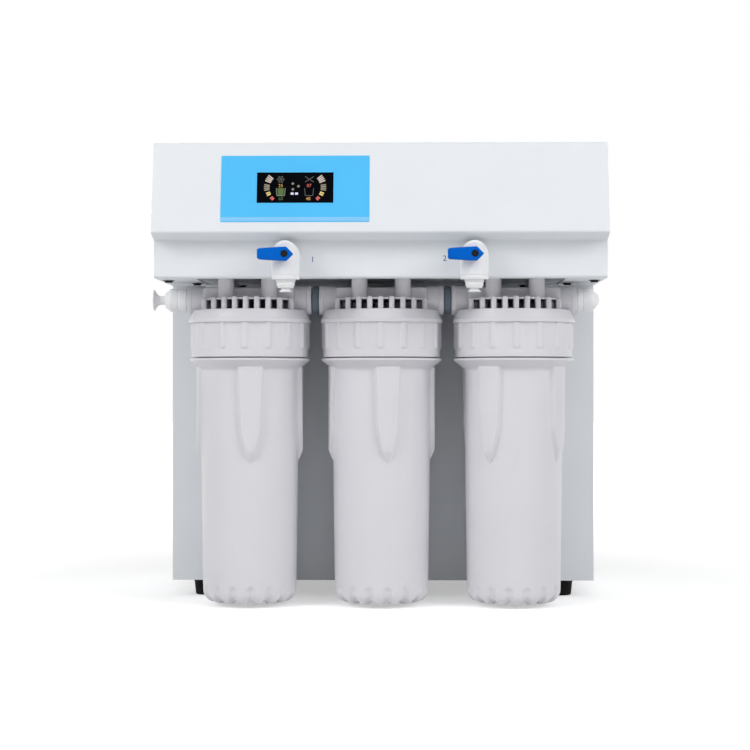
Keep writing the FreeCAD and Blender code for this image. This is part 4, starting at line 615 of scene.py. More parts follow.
def head_surfaces(size, node):
    """A filter head: turned shell, comb, manifold, two ports with their sockets, and four posts."""
    low, high = corners(node)
    centre = (low + high) / 2
    shoulder_z = low[2] + size.nut_height + size.skirt_height
    surfaces = [nut_surface(size, centre, low[2])] + comb_surfaces(size, centre, shoulder_z)
    top, deck = size.manifold_rise, size.comb_height - 0.002
    half_width, half_depth, corner, edge = 0.045, 0.017, 0.004, 0.002
    block = stacked(
        [(round_box(half_width - cut, half_depth - cut, corner - cut / 2), z)
         for cut, z in ((0, deck), (0, top - edge), (0.3 * edge, top - 0.3 * edge), (edge, top))]
    )
    surfaces.append(block + np.array([centre[0], centre[1], shoulder_z]))
    port_z = middle("coupling_left")[2]
    reach = (high[0] - low[0]) / 2 - 0.0008
    step, band, socket, socket_depth = 0.0005, 0.0046, 0.0101, 0.015
    pipe, post_top = size.port_radius - step, high[2] - shoulder_z
    for sign in (-1, 1):
        line = [
            (0, size.port_root), (pipe, size.port_root), (pipe, reach - band - 0.0004),
            (size.port_radius, reach - band), (size.port_radius, reach), (socket, reach),
            (socket, reach - socket_depth), (0, reach - socket_depth),
        ]
        surfaces.append(
            lathed([(radius, sign * along) for radius, along in line],
                   (0.0008, 0.0003, 0.0003, 0.0010, 0.0004, 0.0005), "X", (centre[0], centre[1], port_z), columns=64)
        )
        for deep in (-1, 1):
            post = [(0, deck), (size.boss_radius, deck), (size.boss_radius, post_top), (0, post_top)]
            at = (centre[0] + sign * size.boss_across / 2, centre[1] + deep * size.boss_deep / 2, shoulder_z)
            surfaces.append(lathed(post, (FINE_EDGE, SOFT_EDGE), "Z", at, columns=40))
    return surfaces


def leaf_half_width(size, above):
    """Half width of a long rib by the height above its point: widening as a power of the height up to the waist,
    straight to the top's corners, and a quarter circle at each corner."""
    waist, top, power = size.leaf_waist / 2, size.leaf_width / 2, 0.72
    corner_z = size.leaf_length - size.leaf_corner
    nose = waist * (np.clip(above, 0, None) / size.leaf_taper) ** power
    blade = np.interp(above, (size.leaf_taper, corner_z), (waist, top))
    past = np.clip(above - corner_z, 0, size.leaf_corner)
    corner = size.leaf_corner - np.sqrt(size.leaf_corner**2 - past**2)
    return np.where(above < size.leaf_taper, nose, blade) - corner


def bowl_surface(size, node, turn):
    """A bowl: the profile's radius plus, on its outside, the long ribs' rise and minus the foot's flutes. A rib rises
    to the crest's radius inside its outline with a soft flank. A flute is where the ray from the axis meets an upright
    cylinder with a ball on top, set in from the profile, and its arch lifts the foot's rim: the flute's lift times the
    root of 1 less the square of the share of its half width. Columns follow the ribs' outlines above and are evenly
    spaced at the foot."""
    low, high = corners(node)
    centre = ((low[0] + high[0]) / 2, (low[1] + high[1]) / 2, low[2])
    neck_z = high[2] - low[2]
    flange_z = neck_z - size.neck_height
    cone_z = flange_z - size.lip_height - size.cone_height
    leaf_z = cone_z + size.leaf_corner - size.leaf_length
    bend = np.linspace(0, np.pi / 2, 10)
    foot = np.column_stack((size.bowl_foot - size.foot_rounding * (1 - np.sin(bend)),
                            size.foot_rounding * (1 - np.cos(bend))))
    leaf_rows = leaf_z + np.array([-6, 0, 0.6, 1.5, 3, 5, 8, 11, 12.5, 15, 19, 24, 30, 34, 38, 48, 60, 72, 82, 88,
                                   91.4, 92, 92.6, 93.1, 93.5, 93.8, 94.0, 94.15, 94.4, 95.0]) / 1000
    side_z = np.concatenate((np.linspace(size.foot_rounding + 0.001, 0.024, 9),
                             np.linspace(0.032, leaf_z - 0.014, 7), leaf_rows))
    side_r = np.interp(side_z, (size.foot_rounding, cone_z - 0.12, cone_z, cone_z + size.cone_height),
                       (size.bowl_foot, size.bowl_waist, size.bowl_radius, size.flange_radius))
    bead, bead_width = 0.0004, 0.0012
    side_r = side_r + bead * np.exp(-((side_z - cone_z) / bead_width) ** 2)
    hollow = [(0, 0.003), (0.028, 0.003), (0.0315, 0)]
    outside = np.vstack((hollow, foot, np.column_stack((side_r, side_z))))
    groove_r, groove_z, groove_top = 0.0493, neck_z - 0.0095, neck_z - 0.0065
    wall, floor, spigot, spigot_z = 0.004, 0.005, 0.0132, 0.016
    rest = softened(
        [
            outside[-1], (size.flange_radius, cone_z + size.cone_height), (size.flange_radius, flange_z),
            (size.neck_radius, flange_z), (size.neck_radius, groove_z), (groove_r, groove_z),
            (groove_r, groove_top), (size.neck_radius, groove_top), (size.neck_radius, neck_z),
            (size.neck_bore, neck_z), (size.neck_bore, cone_z), (size.bowl_foot - wall, floor), (spigot, floor),
            (spigot, spigot_z), (0, spigot_z),
        ],
        (0.0004, 0.0006, 0.0004, 0.0003, 0.0003, 0.0003, 0.0003, 0.0006, 0.0006, 0.002, 0.003, 0.001, 0.001),
    )[1:]
    line = np.vstack((outside, rest))
    on_outside = (np.arange(len(line)) < len(outside))[:, None]
    radius, height = line[:, :1], line[:, 1:]

    above = height - leaf_z
    half = leaf_half_width(size, np.minimum(above, size.leaf_length))
    share = np.array([0, 0.1, 0.42, 0.84, 0.97, 1, 1, 1, 1, 1, 0.97, 0.84, 0.42, 0.1, 0])[None, :]
    spread = np.array([-1, -1, -1, -0.98, -0.94, -0.86, -0.45, 0, 0.45, 0.86, 0.94, 0.98, 1, 1, 1])[None, :]
    flank = 0.001
    margin = np.array([-1, -0.35, 0, 0, 0, 0, 0, 0, 0, 0, 0, 0, 0, 0.35, 1])[None, :] * flank
    crest = np.interp(above, (0, size.leaf_nose), (size.bowl_waist, size.leaf_crest))
    over = np.interp(above, (0, size.leaf_length - 0.0012, size.leaf_length - 0.0005, size.leaf_length,
                             size.leaf_length + 0.0004), (1, 1, 0.95, 0.6, 0))
    rise = np.where(above > 0, np.clip(crest - radius, 0, None) * over, 0) * on_outside
    leaf_r = radius + rise * share
    columns, least_r = 48, 0.02
    leaf_turn = np.arcsin(np.clip((half * spread + margin) / np.maximum(leaf_r, least_r), -1, 1))
    edge = leaf_turn[:, -1:]
    gap_share = np.linspace(0, 1, columns - share.size + 2)[None, 1:-1]
    quarter = 2 * np.pi / LEAVES
    gap_turn = edge + (quarter - 2 * edge) * gap_share
    block = np.concatenate((leaf_turn, gap_turn), axis=1)
    even = (np.arange(columns) - share.size // 2)[None, :] * (quarter / columns)
    follow_z, follow_top = 0.026, leaf_z - 0.012
    follow = np.clip((height - follow_z) / (follow_top - follow_z), 0, 1)
    follow = follow**2 * (3 - 2 * follow) * on_outside + (1.0 - on_outside)
    block = even + (block - even) * follow
    turns = (block[:, None, :] + (np.arange(LEAVES) * quarter)[None, :, None]).reshape(len(line), -1)
    ribbed = np.concatenate((leaf_r, np.broadcast_to(radius, gap_turn.shape)), axis=1)
    ribbed = np.tile(ribbed, (1, LEAVES))

    pitch = 2 * np.pi / FLUTES
    away = (turns + pitch / 2) % pitch - pitch / 2
    axis_r = radius - size.flute_depth + size.flute_radius
    over_ball = np.clip(height - size.flute_height, 0, None)
    under_root = size.flute_radius**2 - (axis_r * np.sin(away)) ** 2 - over_ball**2
    fluted = axis_r * np.cos(away) - np.sqrt(np.clip(under_root, 0, None))
    foot_top, hollow_r, rim_r = 0.03, 0.03, 0.034
    on_foot = on_outside & (height < foot_top)
    cut = (under_root > 0) & on_foot & (radius > rim_r)
    shown_r = np.where(cut, np.minimum(ribbed, fluted), ribbed)
    arch = np.sqrt(np.clip(1 - (size.bowl_foot * away / size.flute_radius) ** 2, 0, 1))
    lift = size.flute_lift * arch * np.clip(1 - height / size.foot_rounding, 0, 1) * on_foot * (radius > hollow_r)
    return turned(shown_r, height + lift, turns + turn - np.pi / 2, "Z", centre)


class WATERSYSTEM_OT_heads(bpy.types.Operator):
    """Three filter heads with grip nut, skirt, comb, manifold, ports and posts"""

    bl_idname = "water_system.heads"
    bl_label = "Filter heads"

    def execute(self, context):
        size = context.scene.water_sizes
        for side in HOUSINGS:
            node = "filter_head_" + side
            piece("head_" + side, head_surfaces(size, node), "case", "white_housing", [node])
        return {"FINISHED"}


class WATERSYSTEM_OT_bowls(bpy.types.Operator):
    """Three bowls with lip, cone, long pointed ribs and a fluted foot"""

    bl_idname = "water_system.bowls"
    bl_label = "Filter bowls"

    def execute(self, context):
        size = context.scene.water_sizes
        for side in HOUSINGS:
            node = "filter_bowl_" + side
            surface = bowl_surface(size, node, getattr(size, "turn_" + side))
            piece("bowl_" + side, [surface], side + "_bowl", "white_housing", [node], crease=SHARP_CREASE)
        return {"FINISHED"}


class WATERSYSTEM_OT_water_line(bpy.types.Operator):
    """Couplings between the heads, inlet connector with its collet, outlet elbow and drain port"""

    bl_idname = "water_system.water_line"
    bl_label = "Couplings and connectors"

    def execute(self, context):
        size = context.scene.water_sizes
        for side in SIDES:
            node = "coupling_" + side
            low, high = corners(node)
            across, deep, port_z = (low + high) / 2
            stem, outer = (high[0] - low[0]) / 2, (high[2] - low[2]) / 2
            half, edge, bore = size.collar_width / 2, size.collar_edge, 0.005
            line = [(bore, -stem), (SPIGOT, -stem), (SPIGOT, -half), (outer - edge, -half), (outer, edge - half),
                    (outer, half - edge), (outer - edge, half), (SPIGOT, half), (SPIGOT, stem), (bore, stem),
                    (bore, -stem)]
            rounding = (0.0006, 0.0003, 0.0003, 0.0003, 0.0003, 0.0003, 0.0003, 0.0006, 0.0003)
            surface = lathed(line, rounding, "X", (across, deep, port_z), columns=96)
            piece("collar_" + side, [surface], "case", "grey_coupling", [node])

        low, high = corners("inlet_connector")
        deep, port_z = (low[1] + high[1]) / 2, (low[2] + high[2]) / 2
        outer, left, face, end = (high[2] - low[2]) / 2, low[0], low[0] + 0.021, high[0]
        bore, inner_end = 0.0045, left + 0.014
        line = [(0, end), (SPIGOT, end), (SPIGOT, face), (outer, face), (outer, face - 0.0075),
                (outer - 0.0007, face - 0.0082), (outer, face - 0.0090), (outer, left + 0.0050),
                (0.0082, left + 0.0012), (0.0078, left), (bore, left), (bore, inner_end), (0, inner_end)]
        rounding = (0.0006, 0.0003, 0.0008, 0.0003, 0.0003, 0.0003, 0.0009, 0.0006, 0.0004, 0.0003, 0.0003)
        surface = lathed(line, rounding, "X", (0, deep, port_z))
        piece("connector_inlet", [surface], "case", "white_fitting", ["inlet_connector"])

        low, high = corners("inlet_collet")
        left, end, rim = low[0], high[0], (high[2] - low[2]) / 2
        line = [(COLLET_BORE, left + 0.0012), (0.0046, left + 0.0004), (rim - 0.0006, left), (rim, left + 0.0005),
                (rim - 0.0006, left + 0.0012), (0.0072, left + 0.0026), (0.0050, left + 0.0046),
                (COLLET_NECK, left + 0.0066), (COLLET_NECK, end), (COLLET_BORE, end), (COLLET_BORE, left + 0.0012)]
        surface = lathed(line, SOFT_EDGE, "X", (0, deep, port_z))
        piece("trumpet_inlet", [surface], "inlet_release", "white_fitting", ["inlet_collet"])

        low, high = corners("outlet_elbow")
        outer = (high[2] - low[2]) / 2
        start, face, knee = low[0], low[0] + 0.015, high[0] - outer
        deep, back, port_z = low[1] + outer, high[1], (low[2] + high[2]) / 2
        bend = np.linspace(0, np.pi / 2, 10)
        ball = np.column_stack((outer * np.cos(bend), knee + outer * np.sin(bend)))
        run = softened([(0, start), (SPIGOT, start), (SPIGOT, face), (outer, face), (outer, face + 0.0045),
                        (outer - 0.0005, face + 0.005), (outer - 0.0005, face + 0.0055), (outer, face + 0.006),
                        tuple(ball[0])], (0.0006, 0.0003, 0.0008, 0.0002, 0.0002, 0.0002, 0.0002))
        line = np.vstack((run, ball[1:]))
        body = turned(line[:, :1], line[:, 1:], around(COLUMNS), "X", (0, deep, port_z))
        pipe, band, bore, bore_end = 0.009, 0.0098, 0.0049, back - 0.010
        arm = lathed([(0, deep), (pipe, deep), (pipe, back - 0.007), (band, back - 0.0064), (band, back - 0.0008),
                      (pipe, back), (bore, back), (bore, bore_end), (0, bore_end)],
                     (0.0003, 0.0003, 0.0004, 0.0004, 0.0004, 0.0003, 0.0003), "Y", (knee, 0, port_z))
        piece("elbow_outlet", [body, arm], "case", "white_fitting", ["outlet_elbow"])

        low, high = corners("drain_port")
        across, height = (low[0] + high[0]) / 2, (low[2] + high[2]) / 2
        wall, back, front = corners("rear_panel")[1][1], high[1], low[1]
        shank, outer, bore, bore_end = 0.0075, 0.010, CAP_BORE, back - 0.014
        line = [(0, front), (shank, front), (shank, wall - 0.001), (outer, wall - 0.001), (outer, wall + 0.004),
                (outer - 0.0005, wall + 0.0045), (outer, wall + 0.005), (outer, back - 0.002),
                (outer - 0.0015, back), (bore, back), (bore, bore_end), (0, bore_end)]
        surface = lathed(line, 0.0004, "Y", (across, 0, height))
        piece("port_drain", [surface], "case", "white_fitting", ["drain_port"])
        return {"FINISHED"}


def collet_line(outer, end):
    """Profile of a push-fit collet about its outer end: a bell-shaped rim that runs into a straight neck."""
    return [(COLLET_BORE, 0), (outer - 0.0005, 0), (outer, 0.0005), (outer - 0.0003, 0.0010),
            (COLLET_NECK + 0.0004, 0.0016), (COLLET_NECK, 0.0022), (COLLET_NECK, end), (COLLET_BORE, end),
            (COLLET_BORE, 0)]


def valve_barrel(size, cap_z):
    """A valve's barrel about its pivot: a turned profile up to the pivot, with its cap below. Above the pivot each ring
    of radius r is lifted to the crown's height: the root of the barrel's radius squared less the square of the point's
    distance from the middle plane, a half cylinder front to back, drawn in a little where it meets the barrel."""
    wide, cap, base, bore_top = size.valve_radius, size.cap_radius, -size.valve_drop, cap_z + 0.0145
    side = softened(
        [
            (wide, 0), (wide, base + 0.0041), (wide - 0.0005, base + 0.0039), (wide - 0.0005, base + 0.0035),
            (wide, base + 0.0033), (wide, base), (cap, base), (cap, base - 0.0024), (cap - 0.0009, base - 0.0030),
            (cap - 0.0009, base - 0.0038), (cap - 0.0004, base - 0.0044), (size.cap_tip, cap_z), (CAP_BORE, cap_z),
            (CAP_BORE, bore_top), (0, bore_top),
        ],
        (0.0002, 0.0001, 0.0001, 0.0002, 0.0006, 0.0003, 0.0004, 0.0002, 0.0002, 0.0003, 0.0005, 0.0004, 0.0003),
    )
    turn = around(96)
    dense_from, soft_from, drawn_in = 0.9, 0.86, 0.22
    rim = dense_from + (1 - dense_from) * np.sin(np.linspace(0, np.pi / 2, 12))
    reach = np.concatenate((np.linspace(0, dense_from, 16)[:-1], rim))[:, None]
    roof = wide * np.sqrt(np.clip(1 - (reach * np.cos(turn)) ** 2, 0, None))
    soft = 1 - np.sqrt(np.clip(1 - np.clip((reach - soft_from) / (1 - soft_from), 0, 1) ** 2, 0, 1))
    roof = roof * (1 - drawn_in * soft)
    crown = turned(wide * reach, roof, turn, "Z", (0, 0, 0))
    fall = np.linspace(0.75, 0, 4)[:, None]
    wall = turned(wide, roof[-1:] * fall, turn, "Z", (0, 0, 0))
    rest = turned(side[1:, :1], side[1:, 1:], turn, "Z", (0, 0, 0))
    return np.concatenate((crown, wall, rest))


class WATERSYSTEM_OT_valves(bpy.types.Operator):
    """Two lever valves' bodies, the collets under them and the drain's collet"""

    bl_idname = "water_system.valves"
    bl_label = "Valve bodies and collets"

    def execute(self, context):
        size = context.scene.water_sizes
        for side in SIDES:
            node = "valve_body_" + side
            low, high = corners(node)
            across, front, back = (low[0] + high[0]) / 2, low[1], high[1]
            upright = middle("valve_collet_" + side)[1]
            pivot_z = middle("valve_lever_" + side)[2]
            cap_z = low[2] - pivot_z
            chin = CASE_Y - size.hood_reach
            rail, shank, tail = chin + 0.010, 0.008, 0.006
            neck = lathed([(0, upright), (size.valve_neck, upright), (size.valve_neck, chin), (shank, chin),
                           (shank, rail), (tail, rail), (tail, back), (0, back)],
                          (0.0003, 0.0002, 0.0002, 0.0002, 0.0002, 0.0004), "Y", (across, 0, pivot_z), columns=64)
            boss = lathed([(0, front), (size.valve_boss, front), (size.valve_boss, upright), (0, upright)],
                          (SOFT_EDGE, 0.0002), "Y", (across, 0, pivot_z), columns=48)
            barrel = valve_barrel(size, cap_z) + np.array([across, upright, pivot_z])
            piece("valve_" + side, [neck, boss, barrel], "case", "white_fitting", [node], crease=SHARP_CREASE)

            node = "valve_collet_" + side
            low, high = corners(node)
            line = collet_line((high[0] - low[0]) / 2, high[2] - low[2])
            surface = lathed(line, 0.0005, "Z", (across, upright, low[2]))
            piece("bell_" + side, [surface], side + "_release", "white_fitting", [node])

        low, high = corners("drain_collet")
        line = [(radius, -along) for radius, along in collet_line((high[0] - low[0]) / 2, 0.016)]
        surface = lathed(line, 0.0005, "Y", ((low[0] + high[0]) / 2, high[1], (low[2] + high[2]) / 2))
        piece("bell_drain", [surface], "drain_release", "white_fitting", ["drain_collet"])
        return {"FINISHED"}


def lever_outline(size, inset, columns=160, sharpness=26):
    """Outline of a lever about its pivot: with each straight side at a distance d and normal n, the radius at an angle
    a is 1 over the (sharpness)-norm of max(cos(a - n), 0) / d, which rounds the corners a little."""
    half_end, half_hub, flat = size.lever_end / 2, size.lever_hub / 2, 0.0018
    points = np.array([(-size.lever_tail, -half_end), (0, -half_hub), (flat, -half_hub), (size.lever_tip, 0),
                       (flat, half_hub), (0, half_hub), (-size.lever_tail, half_end)])
    side = np.roll(points, -1, axis=0) - points
    normal = np.column_stack((side[:, 1], -side[:, 0])) / np.linalg.norm(side, axis=1, keepdims=True)
    distance = (normal * points).sum(axis=1) - inset
    ray = np.linspace(0, 2 * np.pi, columns, endpoint=False)
    bunching = 0.175
    ray = ray + bunching * np.sin(2 * ray)
    toward = np.stack((np.cos(ray), np.sin(ray)))
    share = np.clip(normal @ toward, 0, None) / distance[:, None]
    radius = (share**sharpness).sum(axis=0) ** (-1 / sharpness)
    return (toward * radius).T, toward.T


class WATERSYSTEM_OT_levers(bpy.types.Operator):
    """Two levers: a tapering tail, a pointed tip and a round recess at the pivot"""

    bl_idname = "water_system.levers"
    bl_label = "Levers"

    def execute(self, context):
        size = context.scene.water_sizes
        for side in SIDES:
            node = "valve_lever_" + side
            low, high = corners(node)
            edge, lip, gauge, hub, hub_rise, hole = 0.0009, 0.0004, 0.007, 0.0031, 0.0025, 0.0016
            front = low[1]
            back, hub_end = front + gauge, front + gauge + hub_rise
            pivot = np.array([middle("valve_body_" + side)[0], 0, (low[2] + high[2]) / 2])
            ray = lever_outline(size, 0)[1]
            steps = ((0.0, back), (0.0, front + edge), (edge / 3, front + edge / 3), (edge, front))
            rows = [(hub * ray, hub_end), (hub * ray, back)]
            rows += [(lever_outline(size, inset)[0], deep) for inset, deep in steps]
            rim, floor = size.recess_radius, front + size.recess_depth
            rows += [((rim + lip) * ray, front), (rim * ray, front + lip), (rim * ray, floor),
                     (hole * ray, floor), (hole * ray, hub_end), (hub * ray, hub_end)]
            grid = stacked(rows)[..., [0, 2, 1]] + pivot
            piece("lever_" + side, [grid], side + "_lever", "blue_lever", [node], crease=SHARP_CREASE)
        return {"FINISHED"}


class WATERSYSTEM_OT_feet(bpy.types.Operator):
    """Four round rubber feet with a soft rim and a hollow under them"""

    bl_idname = "water_system.feet"
    bl_label = "Rubber feet"

    def execute(self, context):
        for side in SIDES:
            for end in ("front", "rear"):
                node = f"foot_{end}_{side}"
                low, high = corners(node)
                wide, tall = (high[0] - low[0]) / 2, high[2] - low[2]
                band, step, taper, sole, hollow_r, hollow_z = 0.003, 0.0007, 0.002, 0.0075, 0.0055, 0.004
                line = [(0, tall), (wide, tall), (wide, tall - band), (wide - step, tall - band - step),
                        (wide - taper, 0), (sole, 0), (hollow_r, hollow_z), (0, hollow_z)]
                at = ((low[0] + high[0]) / 2, (low[1] + high[1]) / 2, low[2])
                surface = lathed(line, (0.0008, 0.0006, 0.0005, 0.0016, 0.0008, 0.0008), "Z", at)
                piece(f"rubber_{end}_{side}", [surface], "case", "foot_rubber", [node])
        return {"FINISHED"}


class WATERSYSTEM_OT_fascia(bpy.types.Operator):
    """Blue printed film on the brow with its window opening, its pale stripe and its soft edge"""

    bl_idname = "water_system.fascia"
    bl_label = "Blue fascia"

    def execute(self, context):
        size = context.scene.water_sizes
        half, tall = size.fascia_width / 2, size.fascia_height / 2
        across = -size.fascia_left + half
        up = size.fascia_low + tall
        window_up = size.fascia_low + size.window_low + size.window_height / 2
        gauge, corner = size.fascia_gauge, size.fascia_corner
        edge, play, inset, layer = 0.00015, 0.0001, 0.0002, 0.00004

        film, bevelled = (round_box(half - cut, tall - cut, corner) + np.array([across, up]) for cut in (0, edge))
        opening = round_box(size.window_width / 2 + play, size.window_height / 2 + play, 0.0005)
        opening = opening + np.array([across, window_up])
        ring = stacked([(film, 0), (film, gauge - edge), (bevelled, gauge), (opening, gauge), (opening, 0), (film, 0)])
        piece("fascia", [on_brow(ring)], "case", "blue_fascia", ["control_fascia"])

        stripe = round_box(half - inset, size.stripe_height / 2, 0.0002)
        stripe = stripe + np.array([across, size.fascia_low + size.stripe_low + size.stripe_height / 2])
        band = stacked([(stripe, gauge), (stripe, gauge + layer)])
        piece("fascia_stripe", [on_brow(band)], "case", "blue_fascia", look=finish("pale_stripe"))
        return {"FINISHED"}


def bar(half_width, half_height, centre, degrees=0.0):
    """Outline of a small round-cornered bar, turned about its middle."""
    corner = 0.4 * min(half_width, half_height)
    outline = round_box(half_width, half_height, corner, 3)
    turn = math.radians(degrees)
    spin = np.array([(math.cos(turn), math.sin(turn)), (-math.sin(turn), math.cos(turn))])
    return outline @ spin + np.asarray(centre)


def tank(half_width, half_height, centre):
    """Outline of a vessel wider at its top."""
    foot = 0.82
    points = np.array([(-foot, -1), (foot, -1), (1, 1), (-1, 1)]) * (half_width, half_height)
    return points + np.asarray(centre)


# Bars of the two arcs: colour, turn of the group's middle, how many bars, half length, half width, distance out;
# then the gap between two bars and where the left arc's centre stands from the window's middle
ARC_BARS = (
    ("white", 149.0, 4, 0.00290, 0.00064, 0.0161),
    ("grey", 179.5, 4, 0.00260, 0.00060, 0.0161),
    ("yellow", 203.0, 2, 0.00200, 0.00075, 0.0156),
    ("red", 224.5, 2, 0.00160, 0.00072, 0.0152),
)
ARC_GAP = 0.00042
ARC_CENTRE = -0.0107


def display_marks():
    """Outlines of the display's marks by colour, in metres about the window's middle. A bar of an arc lies on a ray
    from the arc's centre, and its neighbours follow at its own width and a gap."""
    marks = {name: [] for name in MARKS}
    for name, group_turn, count, half_long, half_wide, out in ARC_BARS:
        pitch = math.degrees((2 * half_wide + ARC_GAP) / out)
        for step in range(count):
            degrees = group_turn + (step - (count - 1) / 2) * pitch
            turn = math.radians(degrees)
            outline = bar(half_long, half_wide, (out * math.cos(turn) + ARC_CENTRE, out * math.sin(turn)), degrees)
            marks[name] += [outline, outline * (-1, 1)]
    for at in ((-0.0022, 0.0039), (0.0031, 0.0013), (-0.0021, -0.0017)):
        marks["grey"].append(bar(0.0011, 0.0010, at, 30))
    for across in (-0.0027, 0.0014):
        marks["blue"].append(bar(0.0014, 0.0011, (across, -0.0060)))
    thin, wheel, cross = 0.00035, np.array([-0.0137, 0.0082]), (0.0134, 0.0082)
    for degrees in (0, 60, 120):
        marks["faint"].append(bar(0.0038, thin, wheel, degrees))
        turn = math.radians(degrees)
        for out in (-0.0026, 0.0026):
            at = wheel + out * np.array([math.cos(turn), math.sin(turn)])
            marks["faint"].append(bar(0.0012, thin, at, degrees + 90))
    for degrees in (34, -34):
        marks["faint"].append(bar(0.0050, thin, cross, degrees))
    marks["green"].append(tank(0.0031, 0.0034, (-0.0135, -0.0040)))
    for across, name in ((-0.0135, "pale"), (0.0132, "faint")):
        marks[name].append(bar(0.0034, thin, (across, -0.0080)))
        for side in (-1, 1):
            marks[name].append(bar(0.0003, 0.0038, (across + side * 0.0039, -0.0043), -5 * side))
    return marks


# Digits of the display: text, colour, and place from the window's middle
DIGITS = (("25", "amber", -0.0137, 0.0018), ("07", "red", 0.0131, 0.0018), ("60", "green", -0.0134, -0.0112),
          ("48", "amber", 0.0124, -0.0112))


class WATERSYSTEM_OT_display(bpy.types.Operator):
    """Marks and plain digits on the display window"""

    bl_idname = "water_system.display"
    bl_label = "Display marks"

    def execute(self, context):
        size = context.scene.water_sizes
        across = -size.fascia_left + size.fascia_width / 2
        up = size.fascia_low + size.window_low + size.window_height / 2
        gauge, digit_height = size.fascia_gauge, 0.0044
        for name, outlines in display_marks().items():
            moved = [outline + np.array([across, up]) for outline in outlines]
            surfaces = [on_brow(stacked([(outline, gauge), (outline, gauge + INK)])) for outline in moved]
            piece("marks_" + name, surfaces, "case", "display_lens", look=lit(name))
        for text, name, right, above in DIGITS:
            mesh = lettered("digits", text, digit_height, on_brow, (across + right, up + above, gauge), INK)
            dressed("digits_" + text, mesh, "case", "display_lens", look=lit(name))
        return {"FINISHED"}


class WATERSYSTEM_OT_numerals(bpy.types.Operator):
    """Plain numerals 1 and 2 printed beside the valves"""

    bl_idname = "water_system.numerals"
    bl_label = "Valve numerals"

    def execute(self, context):
        size = context.scene.water_sizes
        for text, across, up in (("1", -0.0642, 0.0173), ("2", 0.0611, 0.0182)):
            mesh = lettered("numeral", text, size.numeral_size, on_chin, (across, up, 0), INK)
            dressed("numeral_" + text, mesh, "case", look=finish("printed_numeral"))
        return {"FINISHED"}


class WATERSYSTEM_OT_finishes(bpy.types.Operator):
    """Finishes of the solids that are shown as they are"""

    bl_idname = "water_system.finishes"
    bl_label = "Finishes of the solids"

    def execute(self, context):
        for node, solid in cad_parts.items():
            slot_name = solid.material_slots[0].material.name.split(".")[0]
            for holder in solid.material_slots:
                # Screws under the hood and in the levers' recesses get the near-black painted shade instead of their
                # slot's plated finish
                holder.material = finish("dark_screws" if node in SCREWS_IN_PAINTED_SHADE else slot_name)
        return {"FINISHED"}


def shown_white(nodes, links, dim, bright):
    """The bright value for camera, glossy and transmission rays and the dim one for all others, so that a background
    shows white without lighting the object as much."""
    path = nodes.new("ShaderNodeLightPath")
    total = path.outputs["Is Camera Ray"]
    for other in ("Is Glossy Ray", "Is Transmission Ray"):
        total = combined(nodes, links, "MAXIMUM", total, path.outputs[other])
    return ranged(nodes, links, total, dim, bright)


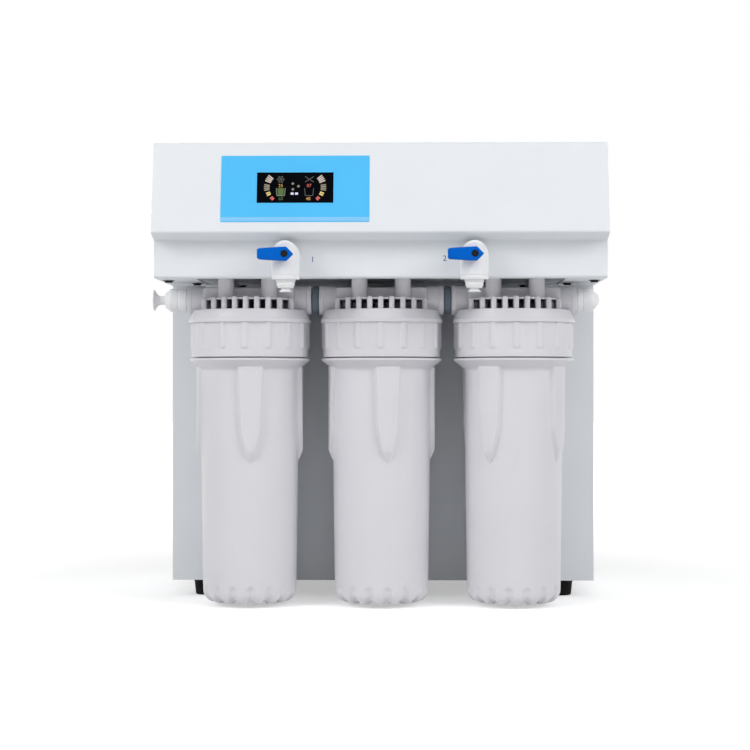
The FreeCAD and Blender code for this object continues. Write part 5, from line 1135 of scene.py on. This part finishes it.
class WATERSYSTEM_OT_stage(bpy.types.Operator):
    """Pale floor, white surroundings, soft lamps and the camera"""

    bl_idname = "water_system.stage"
    bl_label = "Stage"

    def execute(self, context):
        scene = context.scene
        half_width, count = 9, 7
        span = np.linspace(-half_width, half_width, count)
        across, deep = np.meshgrid(span, span, indexing="ij")
        points = np.stack((across, deep, np.zeros_like(across)), axis=-1).reshape(-1, 3)
        here = np.arange(count**2).reshape(count, count)
        faces = np.stack((here[:-1, :-1], here[1:, :-1], here[1:, 1:], here[:-1, 1:]), axis=-1).reshape(-1, 4)
        mesh = bpy.data.meshes.new("floor")
        mesh.from_pydata(points.tolist(), [], faces.tolist())
        colour, mottling, drift, grain, roughness = (0.86, 0.86, 0.86), 0.01, 0.3, 0.002, 0.9
        paper, nodes, links, shader = blank("floor")
        shade = mottled(nodes, links, colour, mottling, drift, textured(nodes, links, "NOISE", grain))
        links.new(shade, shader.inputs["Base Color"])
        shader.inputs["Roughness"].default_value = roughness
        shader.inputs["Emission Color"].default_value = (1, 1, 1, 1)
        place = nodes.new("ShaderNodeTexCoord")
        away = nodes.new("ShaderNodeVectorMath")
        away.operation = "LENGTH"
        links.new(place.outputs["Object"], away.inputs[0])
        near, far, near_glow = 0.4, 1.5, 0.42
        glow = ranged(nodes, links, away.outputs["Value"], near_glow, 1.0, start=near, end=far)
        seen = combined(nodes, links, "MULTIPLY", shown_white(nodes, links, 0.0, 1.0), glow)
        links.new(seen, shader.inputs["Emission Strength"])
        mesh.materials.append(paper)
        floor = placed("floor", mesh)

        world = bpy.data.worlds.new("studio")
        scene.world = world
        world.use_nodes = True
        nodes, links = world.node_tree.nodes, world.node_tree.links
        back = nodes["Background"]
        back.inputs["Color"].default_value = (1, 1, 1, 1)
        fill = 0.19
        links.new(shown_white(nodes, links, fill, 1.0), back.inputs["Strength"])

        lamps = (
            ("lamp_left", (-2.2, -1.8, 1.7), 1.6, 46.0),
            ("lamp_right", (2.2, -1.8, 1.6), 1.6, 41.5),
            ("lamp_top", (0.0, -0.8, 2.6), 1.6, 6.0),
            ("lamp_front", (0.2, -2.4, 2.3), 1.4, 4.0),
            ("lamp_back", (0.9, 2.9, 1.8), 1.6, 13.0),
        )
        aim_height = 0.25
        aim = np.array([CASE_X, CASE_Y, aim_height])
        for name, place, width, power in lamps:
            light = bpy.data.lights.new(name, "AREA")
            light.shape = "SQUARE"
            light.size = width
            light.energy = power
            lamp = placed(name, light)
            lamp.location = place
            lamp.rotation_euler = (lamp.location - type(lamp.location)(aim)).to_track_quat("Z", "Y").to_euler()

        lens = bpy.data.cameras.new("camera")
        lens.lens = 89.76
        lens.sensor_width = 36.0
        camera = placed("camera", lens)
        camera.location = (0.0349, -1.9429, 0.2164)
        camera.rotation_euler = (math.radians(90.306), 0.0, math.radians(1.164))
        scene.camera = camera
        scene.view_settings.view_transform = "Standard"
        return {"FINISHED"}


OPERATORS = (
    WATERSYSTEM_OT_heads,
    WATERSYSTEM_OT_bowls,
    WATERSYSTEM_OT_water_line,
    WATERSYSTEM_OT_valves,
    WATERSYSTEM_OT_levers,
    WATERSYSTEM_OT_feet,
    WATERSYSTEM_OT_fascia,
    WATERSYSTEM_OT_display,
    WATERSYSTEM_OT_numerals,
    WATERSYSTEM_OT_finishes,
    WATERSYSTEM_OT_stage,
)


class WATERSYSTEM_PT_panel(bpy.types.Panel):
    """Lists the steps that build the water system"""

    bl_idname = "WATERSYSTEM_PT_panel"
    bl_label = "Water System"
    bl_space_type = "VIEW_3D"
    bl_region_type = "UI"
    bl_category = "Water System"

    def draw(self, context):
        for operator in OPERATORS:
            self.layout.operator(operator.bl_idname, text=operator.bl_label)
        for group in (context.scene.water_sizes, context.scene.water_colours):
            box = self.layout.box()
            for name in group.__annotations__:
                box.prop(group, name)


CLASSES = (WaterSystemSizes, WaterSystemColours, *OPERATORS, WATERSYSTEM_PT_panel)


def register():
    """Registers the classes and hangs the sizes and colours on the scene."""
    for item in CLASSES:
        bpy.utils.register_class(item)
    bpy.types.Scene.water_sizes = bpy.props.PointerProperty(type=WaterSystemSizes)
    bpy.types.Scene.water_colours = bpy.props.PointerProperty(type=WaterSystemColours)


def unregister():
    """Takes the sizes, the colours and the classes away again."""
    del bpy.types.Scene.water_colours
    del bpy.types.Scene.water_sizes
    for item in reversed(CLASSES):
        bpy.utils.unregister_class(item)


def main():
    """Builds every piece in order."""
    register()
    for operator in OPERATORS:
        section, name = operator.bl_idname.split(".")
        getattr(getattr(bpy.ops, section), name)()


if __name__ == "__main__":
    main()
